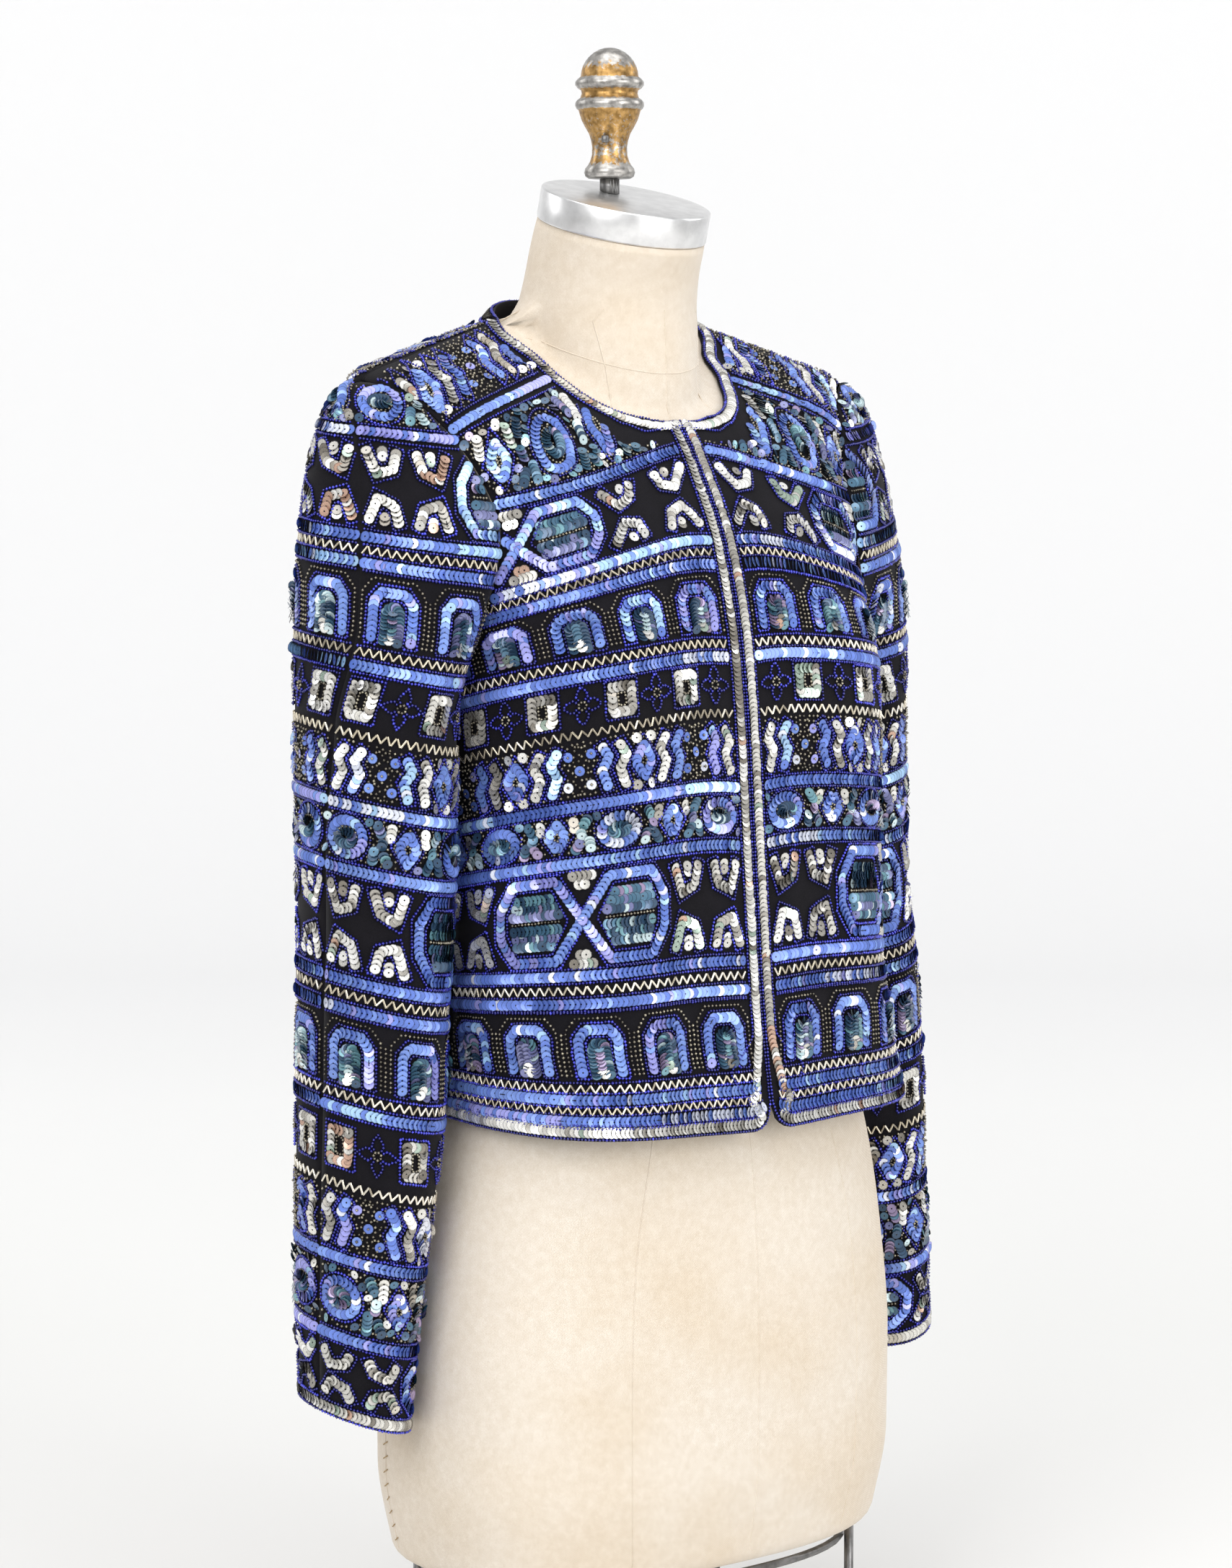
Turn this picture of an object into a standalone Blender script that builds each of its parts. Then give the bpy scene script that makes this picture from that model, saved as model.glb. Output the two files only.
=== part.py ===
"""Cropped evening jacket on its limbless dress form.

Metres in the file, +Z up, the front faces -Y and +X is the form's own left.
Sizes below are millimetres; MM turns them to metres as each mesh is made.
"""
import math
from collections import namedtuple

import bmesh
import bpy
import numpy as np

MM = 0.001

# Cloth and fits
WALL = 2.0                 # beaded cloth with its backing
SEAM_GAP = 0.3             # between pieces that are sewn together
FORM_CLEARANCE = 1.5       # jacket's inside to the form it rests on
FOLD_ROOM = 3.0            # more of it where the jacket hangs in folds
NECK_ROOM = 1.2            # and where the neckline turns round the neck
SEAT = 0.3                 # between hard pieces that stand on each other

# Jacket
HEM_Z = 362.0
UNDERARM_Z = 640.0
SHOULDER_TIP_Z = 804.0
NECK_FRONT_Z = 780.0
NECK_SIDE_Z = 842.0
NECK_BACK_Z = 854.0
FRONT_CORNER_RADIUS = 16.0
CORNER_FADE = 60.0         # height over which the rounded corner dies out
BAND_RISE = 12.0           # how far the rows ride up over the bust
ARMHOLE_BITE = 20.0        # degrees the armhole cuts into front and back
ARMHOLE_TAPER = 0.35       # less bite towards the shoulder
BACK_NECK_SHARE = 0.45     # share of the back's top edge that is neckline

# Form, its cap, finial and foot
TORSO_BOTTOM_Z = 95.0
ARMPLATE_X = 156.0
BOTTOM_ROUND = 8.0
NECK_TOP_Z = 895.0
NECK_TOP_Y = 17.0
CAP_TILT = math.radians(15.0)
CAP_RADIUS = 52.0
CAP_HEIGHT = 19.0
POST_Y = 28.0
POST_RADIUS = 6.0
FINIAL_BASE_Z = 926.0
SCREW_Z = 949.0
SCREW_TURN = math.radians(50.0)
HOOP_BAND = 14.0
HOOP_HEIGHT = 6.0
ROD_RADIUS = 3.0
ROD_INSET = 13.0           # rod centres inside the torso's bottom outline
ROD_TURN = 62.0            # degrees round from the front or the back
RING_RADIUS = 2.5
RING_Z = 84.0
FRAME_Y = 2.26             # moves the whole so that its box is centred on the origin

Section = namedtuple("Section", "height half_width centre front back squareness")
# Level sections of the jacket's outer face, hem to collar bone. Front and back are
# reaches from the centre, which is a distance behind the form's axis.
JACKET_SECTIONS = (
    Section(362, 152, -4, 121, 112, 3.6),
    Section(417, 147, -2, 114, 107, 3.4),
    Section(474, 144, 0, 110, 104, 3.2),
    Section(560, 146, 0, 103, 106, 2.9),
    Section(640, 150, 3, 98, 110, 2.6),
    Section(704, 158, 8, 88, 110, 2.4),
    Section(750, 170, 16, 73, 104, 2.2),
    Section(780, 180, 22, 58, 98, 2.1),
    Section(804, 187, 28, 34, 88, 2.0),
    Section(820, 146, 33, 18, 77, 2.0),
    Section(832, 106, 38, 11, 66, 2.0),
    Section(842, 75, 42, 6, 56, 2.0),
    Section(854, 60, 43, 6, 51, 2.1),
)

# Level sections of the form's torso. Above the ribs the jacket's inside rules.
FORM_SECTIONS = (
    Section(95, 161, 2, 104, 106, 2.4),
    Section(154, 171, 2, 113, 114, 2.4),
    Section(215, 171, 2, 114, 114, 2.4),
    Section(280, 164, 1, 111, 108, 2.4),
    Section(362, 146, -4, 98, 102, 2.4),
    Section(417, 124, -2, 88, 88, 2.3),
    Section(474, 129, 0, 92, 90, 2.3),
    Section(560, 141, 0, 103, 103, 2.4),
    Section(620, 160, 3, 125, 118, 2.4),
    Section(860, 220, 30, 140, 140, 2.2),
)

NeckRing = namedtuple("NeckRing", "height half_width centre half_depth")
NECK_RINGS = (
    NeckRing(760, 50, 28, 52),
    NeckRing(800, 56, 30, 56),
    NeckRing(842, 55, 31, 55),
    NeckRing(870, 52, 25, 53),
    NeckRing(895, 50.5, 17, 50.5),
)

NeckMark = namedtuple("NeckMark", "angle height")
FRONT_NECKLINE = (
    NeckMark(0, NECK_FRONT_Z),
    NeckMark(20, 781.5),
    NeckMark(38, 786),
    NeckMark(63, 805),
    NeckMark(80, 825),
    NeckMark(90, NECK_SIDE_Z),
)
BACK_NECKLINE = (
    NeckMark(0, NECK_SIDE_Z),
    NeckMark(30, 850),
    NeckMark(60, 853.5),
    NeckMark(90, NECK_BACK_Z),
)

SideDrop = namedtuple("SideDrop", "height drop")
# How much lower a row of the cloth lies at the side than at the centre.
SIDE_DROPS = (
    SideDrop(362, -8),
    SideDrop(474, 12),
    SideDrop(600, 26),
    SideDrop(700, 30),
    SideDrop(780, 32),
    SideDrop(842, 38),
)

Fold = namedtuple("Fold", "angle spread depth low high")
# Soft troughs (minus) and ridges (plus) in the body, as degrees round and heights.
BODY_FOLDS = (
    Fold(26, 9, -2.5, 300, 560),
    Fold(43, 9, 2.5, 300, 600),
    Fold(63, 8, -3.0, 380, 690),
    Fold(77, 7, 2.0, 300, 560),
    Fold(104, 8, -2.5, 320, 640),
    Fold(126, 9, 2.5, 300, 600),
    Fold(148, 9, -2.5, 300, 560),
    Fold(168, 8, 1.5, 300, 640),
)
SLEEVE_FOLDS = (
    Fold(70, 24, -1.6, 430, 520),
    Fold(20, 26, 1.3, 470, 590),
    Fold(110, 22, -1.5, 560, 640),
    Fold(300, 24, -1.6, 400, 500),
    Fold(60, 26, 1.2, 300, 400),
    Fold(250, 24, 1.3, 500, 620),
    Fold(90, 24, -1.3, 240, 320),
)

Bust = namedtuple("Bust", "angle height spread above below rise")
BUST = Bust(47, 632, 21, 48, 115, 15)

SleeveRing = namedtuple("SleeveRing", "height reach back swing half_wide half_deep")
# The left sleeve swings back by the swing, the right one forward by it.
SLEEVE_RINGS = (
    SleeveRing(190, 205, 9, -7, 30, 36),
    SleeveRing(235, 205, 11, -3, 32, 40),
    SleeveRing(300, 202, 14, 2, 36, 45),
    SleeveRing(362, 199, 15, 6, 40, 49),
    SleeveRing(430, 196, 18, 8, 41, 51),
    SleeveRing(510, 194, 22, 14, 42, 53),
    SleeveRing(560, 194, 23, 16, 43, 54),
    SleeveRing(612, 195, 23, 18, 44, 55),
)
BICEP_Z = 612.0
CUFF_Z = 198.0
CUFF_SLANT = 10.0          # the cuff is this much higher outside and behind
SLANT_TURN = 40.0          # degrees behind the outer side, where it is highest
SEAM_LIFT = 0.6            # millimetres the sleeve head stands off its armhole
HEAD_FULLNESS = 0.66       # how far the sleeve head puffs out before it falls

SeamTurn = namedtuple("SeamTurn", "fall turn")
# Overarm seam, as degrees forward of the outer side, from shoulder (0) to cuff (2).
SEAM_TURNS = (
    SeamTurn(0, 0),
    SeamTurn(0.5, 28),
    SeamTurn(0.75, 32),
    SeamTurn(1.0, 18),
    SeamTurn(1.2, 9),
    SeamTurn(2.0, 8),
)

TurnedPoint = namedtuple("TurnedPoint", "height radius")
FINIAL_PROFILE = (
    TurnedPoint(77.8, 5.0),
    TurnedPoint(75.0, 10.4),
    TurnedPoint(70.5, 14.6),
    TurnedPoint(65.0, 17.0),
    TurnedPoint(61.5, 17.4),
    TurnedPoint(60.0, 20.0),
    TurnedPoint(57.0, 20.9),
    TurnedPoint(54.5, 19.6),
    TurnedPoint(53.0, 17.2),
    TurnedPoint(49.0, 17.2),
    TurnedPoint(47.0, 20.0),
    TurnedPoint(43.5, 20.9),
    TurnedPoint(40.5, 19.0),
    TurnedPoint(35.0, 17.0),
    TurnedPoint(27.0, 12.6),
    TurnedPoint(20.0, 10.4),
    TurnedPoint(13.0, 10.6),
    TurnedPoint(9.0, 12.6),
    TurnedPoint(4.5, 14.6),
    TurnedPoint(0.0, 14.8),
)
FINIAL_TOP = 78.6


def smooth_curve(rows, across, value):
    """Function of one table column, a cubic that never overshoots its rows."""
    xs = np.array([getattr(row, across) for row in rows], dtype=float)
    ys = np.array([getattr(row, value) for row in rows], dtype=float)
    steps = np.diff(xs)
    slopes = np.diff(ys) / steps
    tangents = np.zeros(len(ys))
    tangents[0] = slopes[0]
    tangents[-1] = slopes[-1]
    for i in range(1, len(ys) - 1):
        if slopes[i - 1] * slopes[i] > 0:
            tangents[i] = 2 / (1 / slopes[i - 1] + 1 / slopes[i])

    def at(position):
        place = min(max(position, xs[0]), xs[-1])
        i = int(min(np.searchsorted(xs, place, side="right") - 1, len(steps) - 1))
        t = (place - xs[i]) / steps[i]
        rise = t * t * (3 - 2 * t)
        lead = t * (1 - t) ** 2 * tangents[i]
        trail = t * t * (t - 1) * tangents[i + 1]
        return float(ys[i] + (ys[i + 1] - ys[i]) * rise + (lead + trail) * steps[i])

    return at


def curves_of(rows, across="height"):
    """One smooth curve for each other column of a table."""
    names = [name for name in rows[0]._fields if name != across]
    return {name: smooth_curve(rows, across, name) for name in names}


JACKET = curves_of(JACKET_SECTIONS)
FORM = curves_of(FORM_SECTIONS)
NECK = curves_of(NECK_RINGS)
SLEEVE = curves_of(SLEEVE_RINGS)
SIDE_DROP = smooth_curve(SIDE_DROPS, "height", "drop")
NECKLINE_HEIGHT = smooth_curve(FRONT_NECKLINE, "angle", "height")
NECKLINE_ANGLE = smooth_curve(FRONT_NECKLINE, "height", "angle")
BACK_NECK_HEIGHT = smooth_curve(BACK_NECKLINE, "angle", "height")
SEAM_TURN = smooth_curve(SEAM_TURNS, "fall", "turn")


def lerp(start, end, share):
    return start + (end - start) * share


def smooth_step(share):
    share = min(max(share, 0.0), 1.0)
    return share * share * (3 - 2 * share)


def unit(vector):
    return vector / np.linalg.norm(vector)


def section_radius(curves, degrees, height):
    """Distance from a section's centre to its edge; 0 degrees is the front."""
    angle = math.radians(degrees)
    across = abs(math.sin(angle)) / curves["half_width"](height)
    reach = curves["front"](height) if math.cos(angle) > 0 else curves["back"](height)
    along = abs(math.cos(angle)) / reach
    power = curves["squareness"](height)
    return (across ** power + along ** power) ** (-1 / power)


def fold_offset(folds, degrees, height):
    """Sum of the soft folds at one place."""
    total = 0.0
    for fold in folds:
        middle = (fold.low + fold.high) / 2
        half = (fold.high - fold.low) / 2
        along = (height - middle) / half
        if abs(along) < 1:
            away = (degrees - fold.angle) / fold.spread
            total += fold.depth * math.exp(-away * away) * (1 - along * along) ** 2
    return total


def jacket_radius(degrees, height):
    radius = section_radius(JACKET, degrees, height)
    over = height - BUST.height
    spread = BUST.above if over > 0 else BUST.below
    away = (abs(degrees) - BUST.angle) / BUST.spread
    bust = BUST.rise * math.exp(-away * away - (over / spread) ** 2)
    return radius + bust + fold_offset(BODY_FOLDS, abs(degrees), height)


def jacket_centre(height):
    """Middle of a section; on the shoulders it keeps the seam in one plane."""
    if height <= SHOULDER_TIP_Z:
        return JACKET["centre"](height)
    tip = JACKET["half_width"](SHOULDER_TIP_Z)
    share = (tip - JACKET["half_width"](height)) / (tip - JACKET["half_width"](NECK_SIDE_Z))
    return lerp(JACKET["centre"](SHOULDER_TIP_Z), JACKET["centre"](NECK_SIDE_Z), share)


def jacket_point(degrees, height):
    """A point of the jacket's outer face, in millimetres."""
    radius = jacket_radius(degrees, height)
    angle = math.radians(degrees)
    centre = jacket_centre(height)
    return np.array([radius * math.sin(angle), centre - radius * math.cos(angle), height])


def normal_of(surface, u, v, step_u, step_v):
    """Unit normal of a two-way surface from small steps."""
    along_u = surface(u + step_u, v) - surface(u - step_u, v)
    along_v = surface(u, v + step_v) - surface(u, v - step_v)
    return unit(np.cross(along_u, along_v))


def jacket_normal(degrees, height):
    return normal_of(jacket_point, degrees, height, 0.5, 0.5)


def armhole_angle(height):
    """Front edge of the armhole, in degrees from the front, at a height."""
    middle = (SHOULDER_TIP_Z + UNDERARM_Z) / 2
    half = (SHOULDER_TIP_Z - UNDERARM_Z) / 2
    rise = min(max((height - middle) / half, -1.0), 1.0)
    return 90 - armhole_bite(rise)


def armhole_bite(rise):
    """Degrees of armhole cut away; rise runs from -1 underarm to 1 shoulder."""
    taper = 1 - ARMHOLE_TAPER * max(rise, 0.0)
    return ARMHOLE_BITE * math.sqrt(max(1 - rise * rise, 0.0)) * taper


def side_end(level):
    """Where a row that starts at this centre level ends at the side or armhole."""
    height = level - SIDE_DROP(level)
    angle = 90.0 if height <= UNDERARM_Z else armhole_angle(height)
    return angle, height


def keep_from_seams(angle, height, is_front):
    """Hold an angle half a seam gap away from centre front and side seams."""
    side = math.degrees(SEAM_GAP / 2 / JACKET["half_width"](height))
    if not is_front:
        return max(angle, 90 + side)
    centre = math.degrees(SEAM_GAP / 2 / JACKET["front"](height))
    return min(max(angle, centre), 90 - side)


def front_place(share, level):
    """Angle and height on a front, share 0 at centre front to 1 at the side."""
    start = 0.0 if level <= NECK_FRONT_Z else NECKLINE_ANGLE(level)
    end, end_height = side_end(level)
    angle = lerp(start, end, share)
    height = lerp(level, end_height, share)
    fade = smooth_step((level - HEM_Z) / 200) * (1 - smooth_step((level - 700) / 140))
    height += BAND_RISE * fade * math.sin(math.pi * share ** 0.8)
    from_edge = math.radians(angle) * JACKET["front"](height)
    if level < NECK_FRONT_Z and from_edge < FRONT_CORNER_RADIUS:
        short = FRONT_CORNER_RADIUS - from_edge
        lift = FRONT_CORNER_RADIUS - math.sqrt(FRONT_CORNER_RADIUS ** 2 - short ** 2)
        height += lift * max(0.0, 1 - (level - HEM_Z) / CORNER_FADE)
    return keep_from_seams(angle, height, True), height


def back_top(share):
    """Top edge of half the back: neckline from the centre, then the shoulder."""
    if share < BACK_NECK_SHARE:
        turned = 90 * share / BACK_NECK_SHARE
        return 180 - turned, BACK_NECK_HEIGHT(90 - turned)
    down = (share - BACK_NECK_SHARE) / (1 - BACK_NECK_SHARE)
    return 90.0, lerp(NECK_SIDE_Z, SHOULDER_TIP_Z, down)


def back_place(share, level):
    """Angle and height on half the back, share 0 at centre back to 1 at the side."""
    end, end_height = side_end(level)
    end = 180 - end
    rise = (level - HEM_Z) / (NECK_SIDE_Z - HEM_Z)
    centre_height = lerp(HEM_Z, NECK_BACK_Z, rise)
    angle = lerp(180.0, end, share)
    height = lerp(centre_height, end_height, share)
    top_angle, top_height = back_top(share)
    pull = smooth_step((level - 740) / (NECK_SIDE_Z - 740))
    angle += pull * (top_angle - lerp(180.0, 90.0, share))
    height += pull * (top_height - lerp(NECK_BACK_Z, SHOULDER_TIP_Z, share))
    return keep_from_seams(angle, height, False), height


def armhole_mark(turn):
    """Armhole point for a sleeve turn: 0 shoulder, 90 front, 180 underarm, 270 back."""
    rise = math.cos(math.radians(turn))
    middle = (SHOULDER_TIP_Z + UNDERARM_Z) / 2
    height = middle + rise * (SHOULDER_TIP_Z - UNDERARM_Z) / 2
    forward = 1 if math.sin(math.radians(turn)) >= 0 else -1
    angle = 90 - forward * armhole_bite(rise)
    return angle, height


def sleeve_leave(turn):
    """Direction in which the left sleeve's cloth leaves the armhole."""
    rise = math.cos(math.radians(turn))
    forward = math.sin(math.radians(turn))
    return unit(np.array([0.55 + 0.45 * rise, -0.35 * forward, -(0.62 - 0.40 * rise)]))


def sleeve_ring_point(turn, height, swing_sign):
    """A point of a hanging sleeve's level ring."""
    angle = math.radians(turn)
    out = fold_offset(SLEEVE_FOLDS, turn % 360, height)
    x = SLEEVE["reach"](height) + (SLEEVE["half_wide"](height) + out) * math.cos(angle)
    y = SLEEVE["back"](height) + swing_sign * SLEEVE["swing"](height)
    y -= (SLEEVE["half_deep"](height) + out) * math.sin(angle)
    return np.array([x, y, height])


def sleeve_point(turn, fall, swing_sign):
    """Outer face of a sleeve on +X: fall 0 armhole, 1 bicep, 2 cuff."""
    if fall >= 1:
        height = lerp(BICEP_Z, CUFF_Z, fall - 1)
        slant = CUFF_SLANT * math.cos(math.radians(turn + SLANT_TURN))
        height += slant * smooth_step(fall - 1)
        return sleeve_ring_point(turn, height, swing_sign)
    angle, height = armhole_mark(turn)
    leave = sleeve_leave(turn)
    start = jacket_point(angle, height)
    start = start + SEAM_LIFT * (leave + jacket_normal(angle, height))
    end = sleeve_ring_point(turn, BICEP_Z, swing_sign)
    reach = np.linalg.norm(end - start)
    t = fall
    blend = t * t * (3 - 2 * t)
    lead = t * (1 - t) ** 2 * reach * leave * HEAD_FULLNESS
    trail = t * t * (t - 1) * reach * np.array([0.0, 0.0, -1.0])
    return start + (end - start) * blend + lead + trail


def remove_everything():
    for scene_object in list(bpy.data.objects):
        bpy.data.objects.remove(scene_object, do_unlink=True)


def collection_named(name):
    collection = bpy.data.collections.new(name)
    bpy.context.scene.collection.children.link(collection)
    return collection


def surface_material(name, colour, roughness, metallic=0.0):
    material = bpy.data.materials.new(name)
    material.use_nodes = True
    shader = material.node_tree.nodes["Principled BSDF"]
    shader.inputs["Base Color"].default_value = (*colour, 1.0)
    shader.inputs["Roughness"].default_value = roughness
    shader.inputs["Metallic"].default_value = metallic
    material.diffuse_color = (*colour, 1.0)
    return material


def add_object(name, mesh_maker, material, collection):
    """Object whose mesh is filled by a function that is given a bmesh."""
    mesh = bpy.data.meshes.new(name)
    work = bmesh.new()
    mesh_maker(work)
    bmesh.ops.recalc_face_normals(work, faces=work.faces)
    work.to_mesh(mesh)
    work.free()
    mesh.shade_smooth()
    mesh.set_sharp_from_angle(angle=math.radians(40))
    mesh.materials.append(material)
    part = bpy.data.objects.new(name, mesh)
    collection.objects.link(part)
    return part


def cloth_wall(work, outer, inner):
    """Closed wall between two matching grids of points, in millimetres."""
    rows = len(outer)
    columns = len(outer[0])
    faces = [[[work.verts.new(point * MM) for point in row] for row in grid]
             for grid in (outer, inner)]
    top, under = faces
    for i in range(rows - 1):
        for j in range(columns - 1):
            work.faces.new((top[i][j], top[i][j + 1], top[i + 1][j + 1], top[i + 1][j]))
            work.faces.new((under[i][j], under[i + 1][j], under[i + 1][j + 1], under[i][j + 1]))
    rim = [(i, 0) for i in range(rows)]
    rim += [(rows - 1, j) for j in range(1, columns)]
    rim += [(i, columns - 1) for i in range(rows - 2, -1, -1)]
    rim += [(0, j) for j in range(columns - 2, 0, -1)]
    for (i, j), (k, m) in zip(rim, rim[1:] + rim[:1]):
        work.faces.new((top[i][j], top[k][m], under[k][m], under[i][j]))
    bmesh.ops.triangulate(work, faces=work.faces)


def mirrored(points, side):
    """Grid of points, with x turned over where side is -1."""
    return [[point * np.array([side, 1, 1]) for point in row] for row in points]


def body_grids(places):
    """Outer and inner grids of a body panel from rows of angle and height."""
    outer = [[jacket_point(*place) for place in row] for row in places]
    inner = [[jacket_point(*place) - WALL * jacket_normal(*place) for place in row]
             for row in places]
    return outer, inner


def panel_levels():
    """Row levels of the panels: even up to the neck, then round the neckline."""
    below = list(np.linspace(HEM_Z, NECK_FRONT_Z, 19))
    above = [NECKLINE_HEIGHT(angle) for angle in (14, 28, 42, 54, 64, 73, 82, 90)]
    return below + above


def make_front(name, side, material, collection):
    shares = [0.0, 0.02, 0.05, 0.1] + list(np.linspace(0.1, 1.0, 12))[1:]
    places = [[front_place(share, level) for share in shares] for level in panel_levels()]
    outer, inner = body_grids(places)
    return add_object(name, lambda work: cloth_wall(work, mirrored(outer, side),
                                                    mirrored(inner, side)),
                      material, collection)


def make_back(name, material, collection):
    shares = np.linspace(0.0, 1.0, 14)
    levels = list(np.linspace(HEM_Z, 740, 14))
    levels += [757, 772, 785, 796, 806, 815, 824, 833, NECK_SIDE_Z]
    places = [[back_place(share, level) for share in shares] for level in levels]
    outer, inner = body_grids(places)

    def whole(points):
        left = mirrored(points, -1)
        return [row[:0:-1] + other for row, other in zip(left, points)]

    return add_object(name, lambda work: cloth_wall(work, whole(outer), whole(inner)),
                      material, collection)


def make_sleeve_half(name, side, is_front, material, collection):
    """Front half runs from the overarm seam to the underarm, back half the rest."""
    falls = list(np.linspace(0.0, 1.0, 9)) + list(np.linspace(1.0, 2.0, 12))[1:]

    def surface(turn, fall):
        return sleeve_point(turn, fall, side)

    outer = []
    inner = []
    for fall in falls:
        seam = SEAM_TURN(fall)
        ends = (seam, 180.0) if is_front else (180.0, 360.0 + seam)
        half_gap = math.degrees(SEAM_GAP / 2 / SLEEVE["half_wide"](CUFF_Z))
        turns = np.linspace(ends[0] + half_gap, ends[1] - half_gap, 10)
        outer_row = []
        inner_row = []
        for turn in turns:
            probe = min(max(fall, 0.02), 1.98)
            normal = normal_of(surface, turn, probe, 1.0, 0.01)
            point = surface(turn, fall)
            outer_row.append(point)
            inner_row.append(point - WALL * normal)
        outer.append(outer_row)
        inner.append(inner_row)
    return add_object(name, lambda work: cloth_wall(work, mirrored(outer, side),
                                                    mirrored(inner, side)),
                      material, collection)


def torso_radius(degrees, height):
    """Form's torso: its own sections, held inside the jacket where it is worn."""
    radius = section_radius(FORM, degrees, height)
    inset = WALL + FORM_CLEARANCE
    inset += FOLD_ROOM * (1 - smooth_step((height - UNDERARM_Z) / 60))
    inset += NECK_ROOM * smooth_step((height - 800) / 30)
    if height + inset > NECK_BACK_Z:
        return 0.0
    if height > HEM_Z + 40:
        radius = min(radius, jacket_radius(degrees, height + inset) - inset)
        radius = min(radius, jacket_radius(degrees, height) - inset)
        radius = min(radius, ARMPLATE_X / max(abs(math.sin(math.radians(degrees))), 0.01))
    return max(radius, 0.0)


def neck_radius(degrees, height, centre):
    """Neck column's reach from a centre that isn't quite its own."""
    if height < NECK_RINGS[0].height:
        return 0.0
    angle = math.radians(degrees)
    shift = NECK["centre"](height) - centre
    wide = NECK["half_width"](height)
    deep = NECK["half_depth"](height)
    ray = (math.sin(angle) / wide, -math.cos(angle) / deep)
    start = -shift / deep
    squared = ray[0] ** 2 + ray[1] ** 2
    product = start * ray[1]
    return (-product + math.sqrt(product ** 2 - squared * (start ** 2 - 1))) / squared


def form_point(degrees, height):
    """A point of the form's cover, in millimetres."""
    centre = jacket_centre(height) if height > HEM_Z else FORM["centre"](height)
    if height > NECK_SIDE_Z:
        centre = NECK["centre"](height)
    torso = torso_radius(degrees, height)
    neck = neck_radius(degrees, height, centre)
    radius = max(torso, neck)
    if height < TORSO_BOTTOM_Z + BOTTOM_ROUND:
        short = 1 - (height - TORSO_BOTTOM_Z) / BOTTOM_ROUND
        radius -= BOTTOM_ROUND * (1 - math.sqrt(1 - short * short))
    angle = math.radians(degrees)
    x = radius * math.sin(angle)
    y = centre - radius * math.cos(angle)
    lean = smooth_step((height - NECK_BACK_Z) / (NECK_TOP_Z - NECK_BACK_Z))
    z = height + lean * ((y - NECK_TOP_Y) * math.tan(CAP_TILT) - SEAT)
    return np.array([x, y, z])


def make_form(material, collection):
    """Torso and neck as one loft of level rings, closed at both ends."""
    heights = [TORSO_BOTTOM_Z, 95.8, 98, 103] + list(np.linspace(125, 600, 15))
    heights += [616, 632, 646, 660, 674, 690, 706, 724, 742, 760, 776, 788, 797, 804]
    heights += [810, 816, 822, 828, 834, 840]
    heights += [846, 852, 860, 872, 884, NECK_TOP_Z]
    degrees = np.linspace(-180, 180, 41)[:-1]

    def loft(work):
        rings = [[work.verts.new(form_point(turn, height) * MM) for turn in degrees]
                 for height in heights]
        for low, high in zip(rings, rings[1:]):
            for i in range(len(degrees)):
                k = (i + 1) % len(degrees)
                work.faces.new((low[i], low[k], high[k], high[i]))
        work.faces.new(rings[0])
        work.faces.new(rings[-1])
        bmesh.ops.triangulate(work, faces=work.faces)

    return add_object("form_body", loft, material, collection)


def cylinder(radius, height, segments):
    """Mesh maker of an upright cylinder that stands on its origin."""
    def make(work):
        bmesh.ops.create_cone(work, cap_ends=True, segments=segments, radius1=radius * MM,
                              radius2=radius * MM, depth=height * MM)
        bmesh.ops.translate(work, verts=work.verts, vec=(0, 0, height * MM / 2))
    return make


def add_bevel(part, width, segments):
    bevel = part.modifiers.new("rounded rims", "BEVEL")
    bevel.width = width * MM
    bevel.segments = segments
    bevel.limit_method = "ANGLE"


def make_cap(material, collection):
    cap = add_object("neck_cap", cylinder(CAP_RADIUS, CAP_HEIGHT, 48), material, collection)
    cap.location = (0, NECK_TOP_Y * MM, NECK_TOP_Z * MM)
    cap.rotation_euler = (CAP_TILT, 0, 0)
    add_bevel(cap, 1.2, 2)
    return cap


def make_post(material, collection):
    """Short steel post, its foot cut to the slope of the cap."""
    cap_top = NECK_TOP_Z + CAP_HEIGHT / math.cos(CAP_TILT)
    cap_top += (POST_Y - NECK_TOP_Y) * math.tan(CAP_TILT)
    length = FINIAL_BASE_Z - SEAT - cap_top - SEAT

    def make(work):
        cylinder(POST_RADIUS, length, 20)(work)
        for vert in work.verts:
            if vert.co.z < length * MM / 2:
                vert.co.z += vert.co.y * math.tan(CAP_TILT)

    post = add_object("post", make, material, collection)
    post.location = (0, POST_Y * MM, (cap_top + SEAT) * MM)
    return post


def make_finial(material, collection):
    """Turned finial: the profile runs down its outer side and a Screw turns it."""
    profile = [(0.0, FINIAL_TOP)] + [(row.radius, row.height) for row in FINIAL_PROFILE]
    profile.append((0.0, 0.0))
    mesh = bpy.data.meshes.new("finial")
    points = [(radius * MM, 0.0, height * MM) for radius, height in profile]
    mesh.from_pydata(points, [(i, i + 1) for i in range(len(points) - 1)], [])
    mesh.materials.append(material)
    finial = bpy.data.objects.new("finial", mesh)
    collection.objects.link(finial)
    finial.location = (0, POST_Y * MM, FINIAL_BASE_Z * MM)
    screw = finial.modifiers.new("turned", "SCREW")
    screw.steps = 24
    screw.render_steps = 24
    screw.use_merge_vertices = True
    screw.merge_threshold = 0.00005
    screw.use_smooth_shade = True
    return finial


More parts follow.
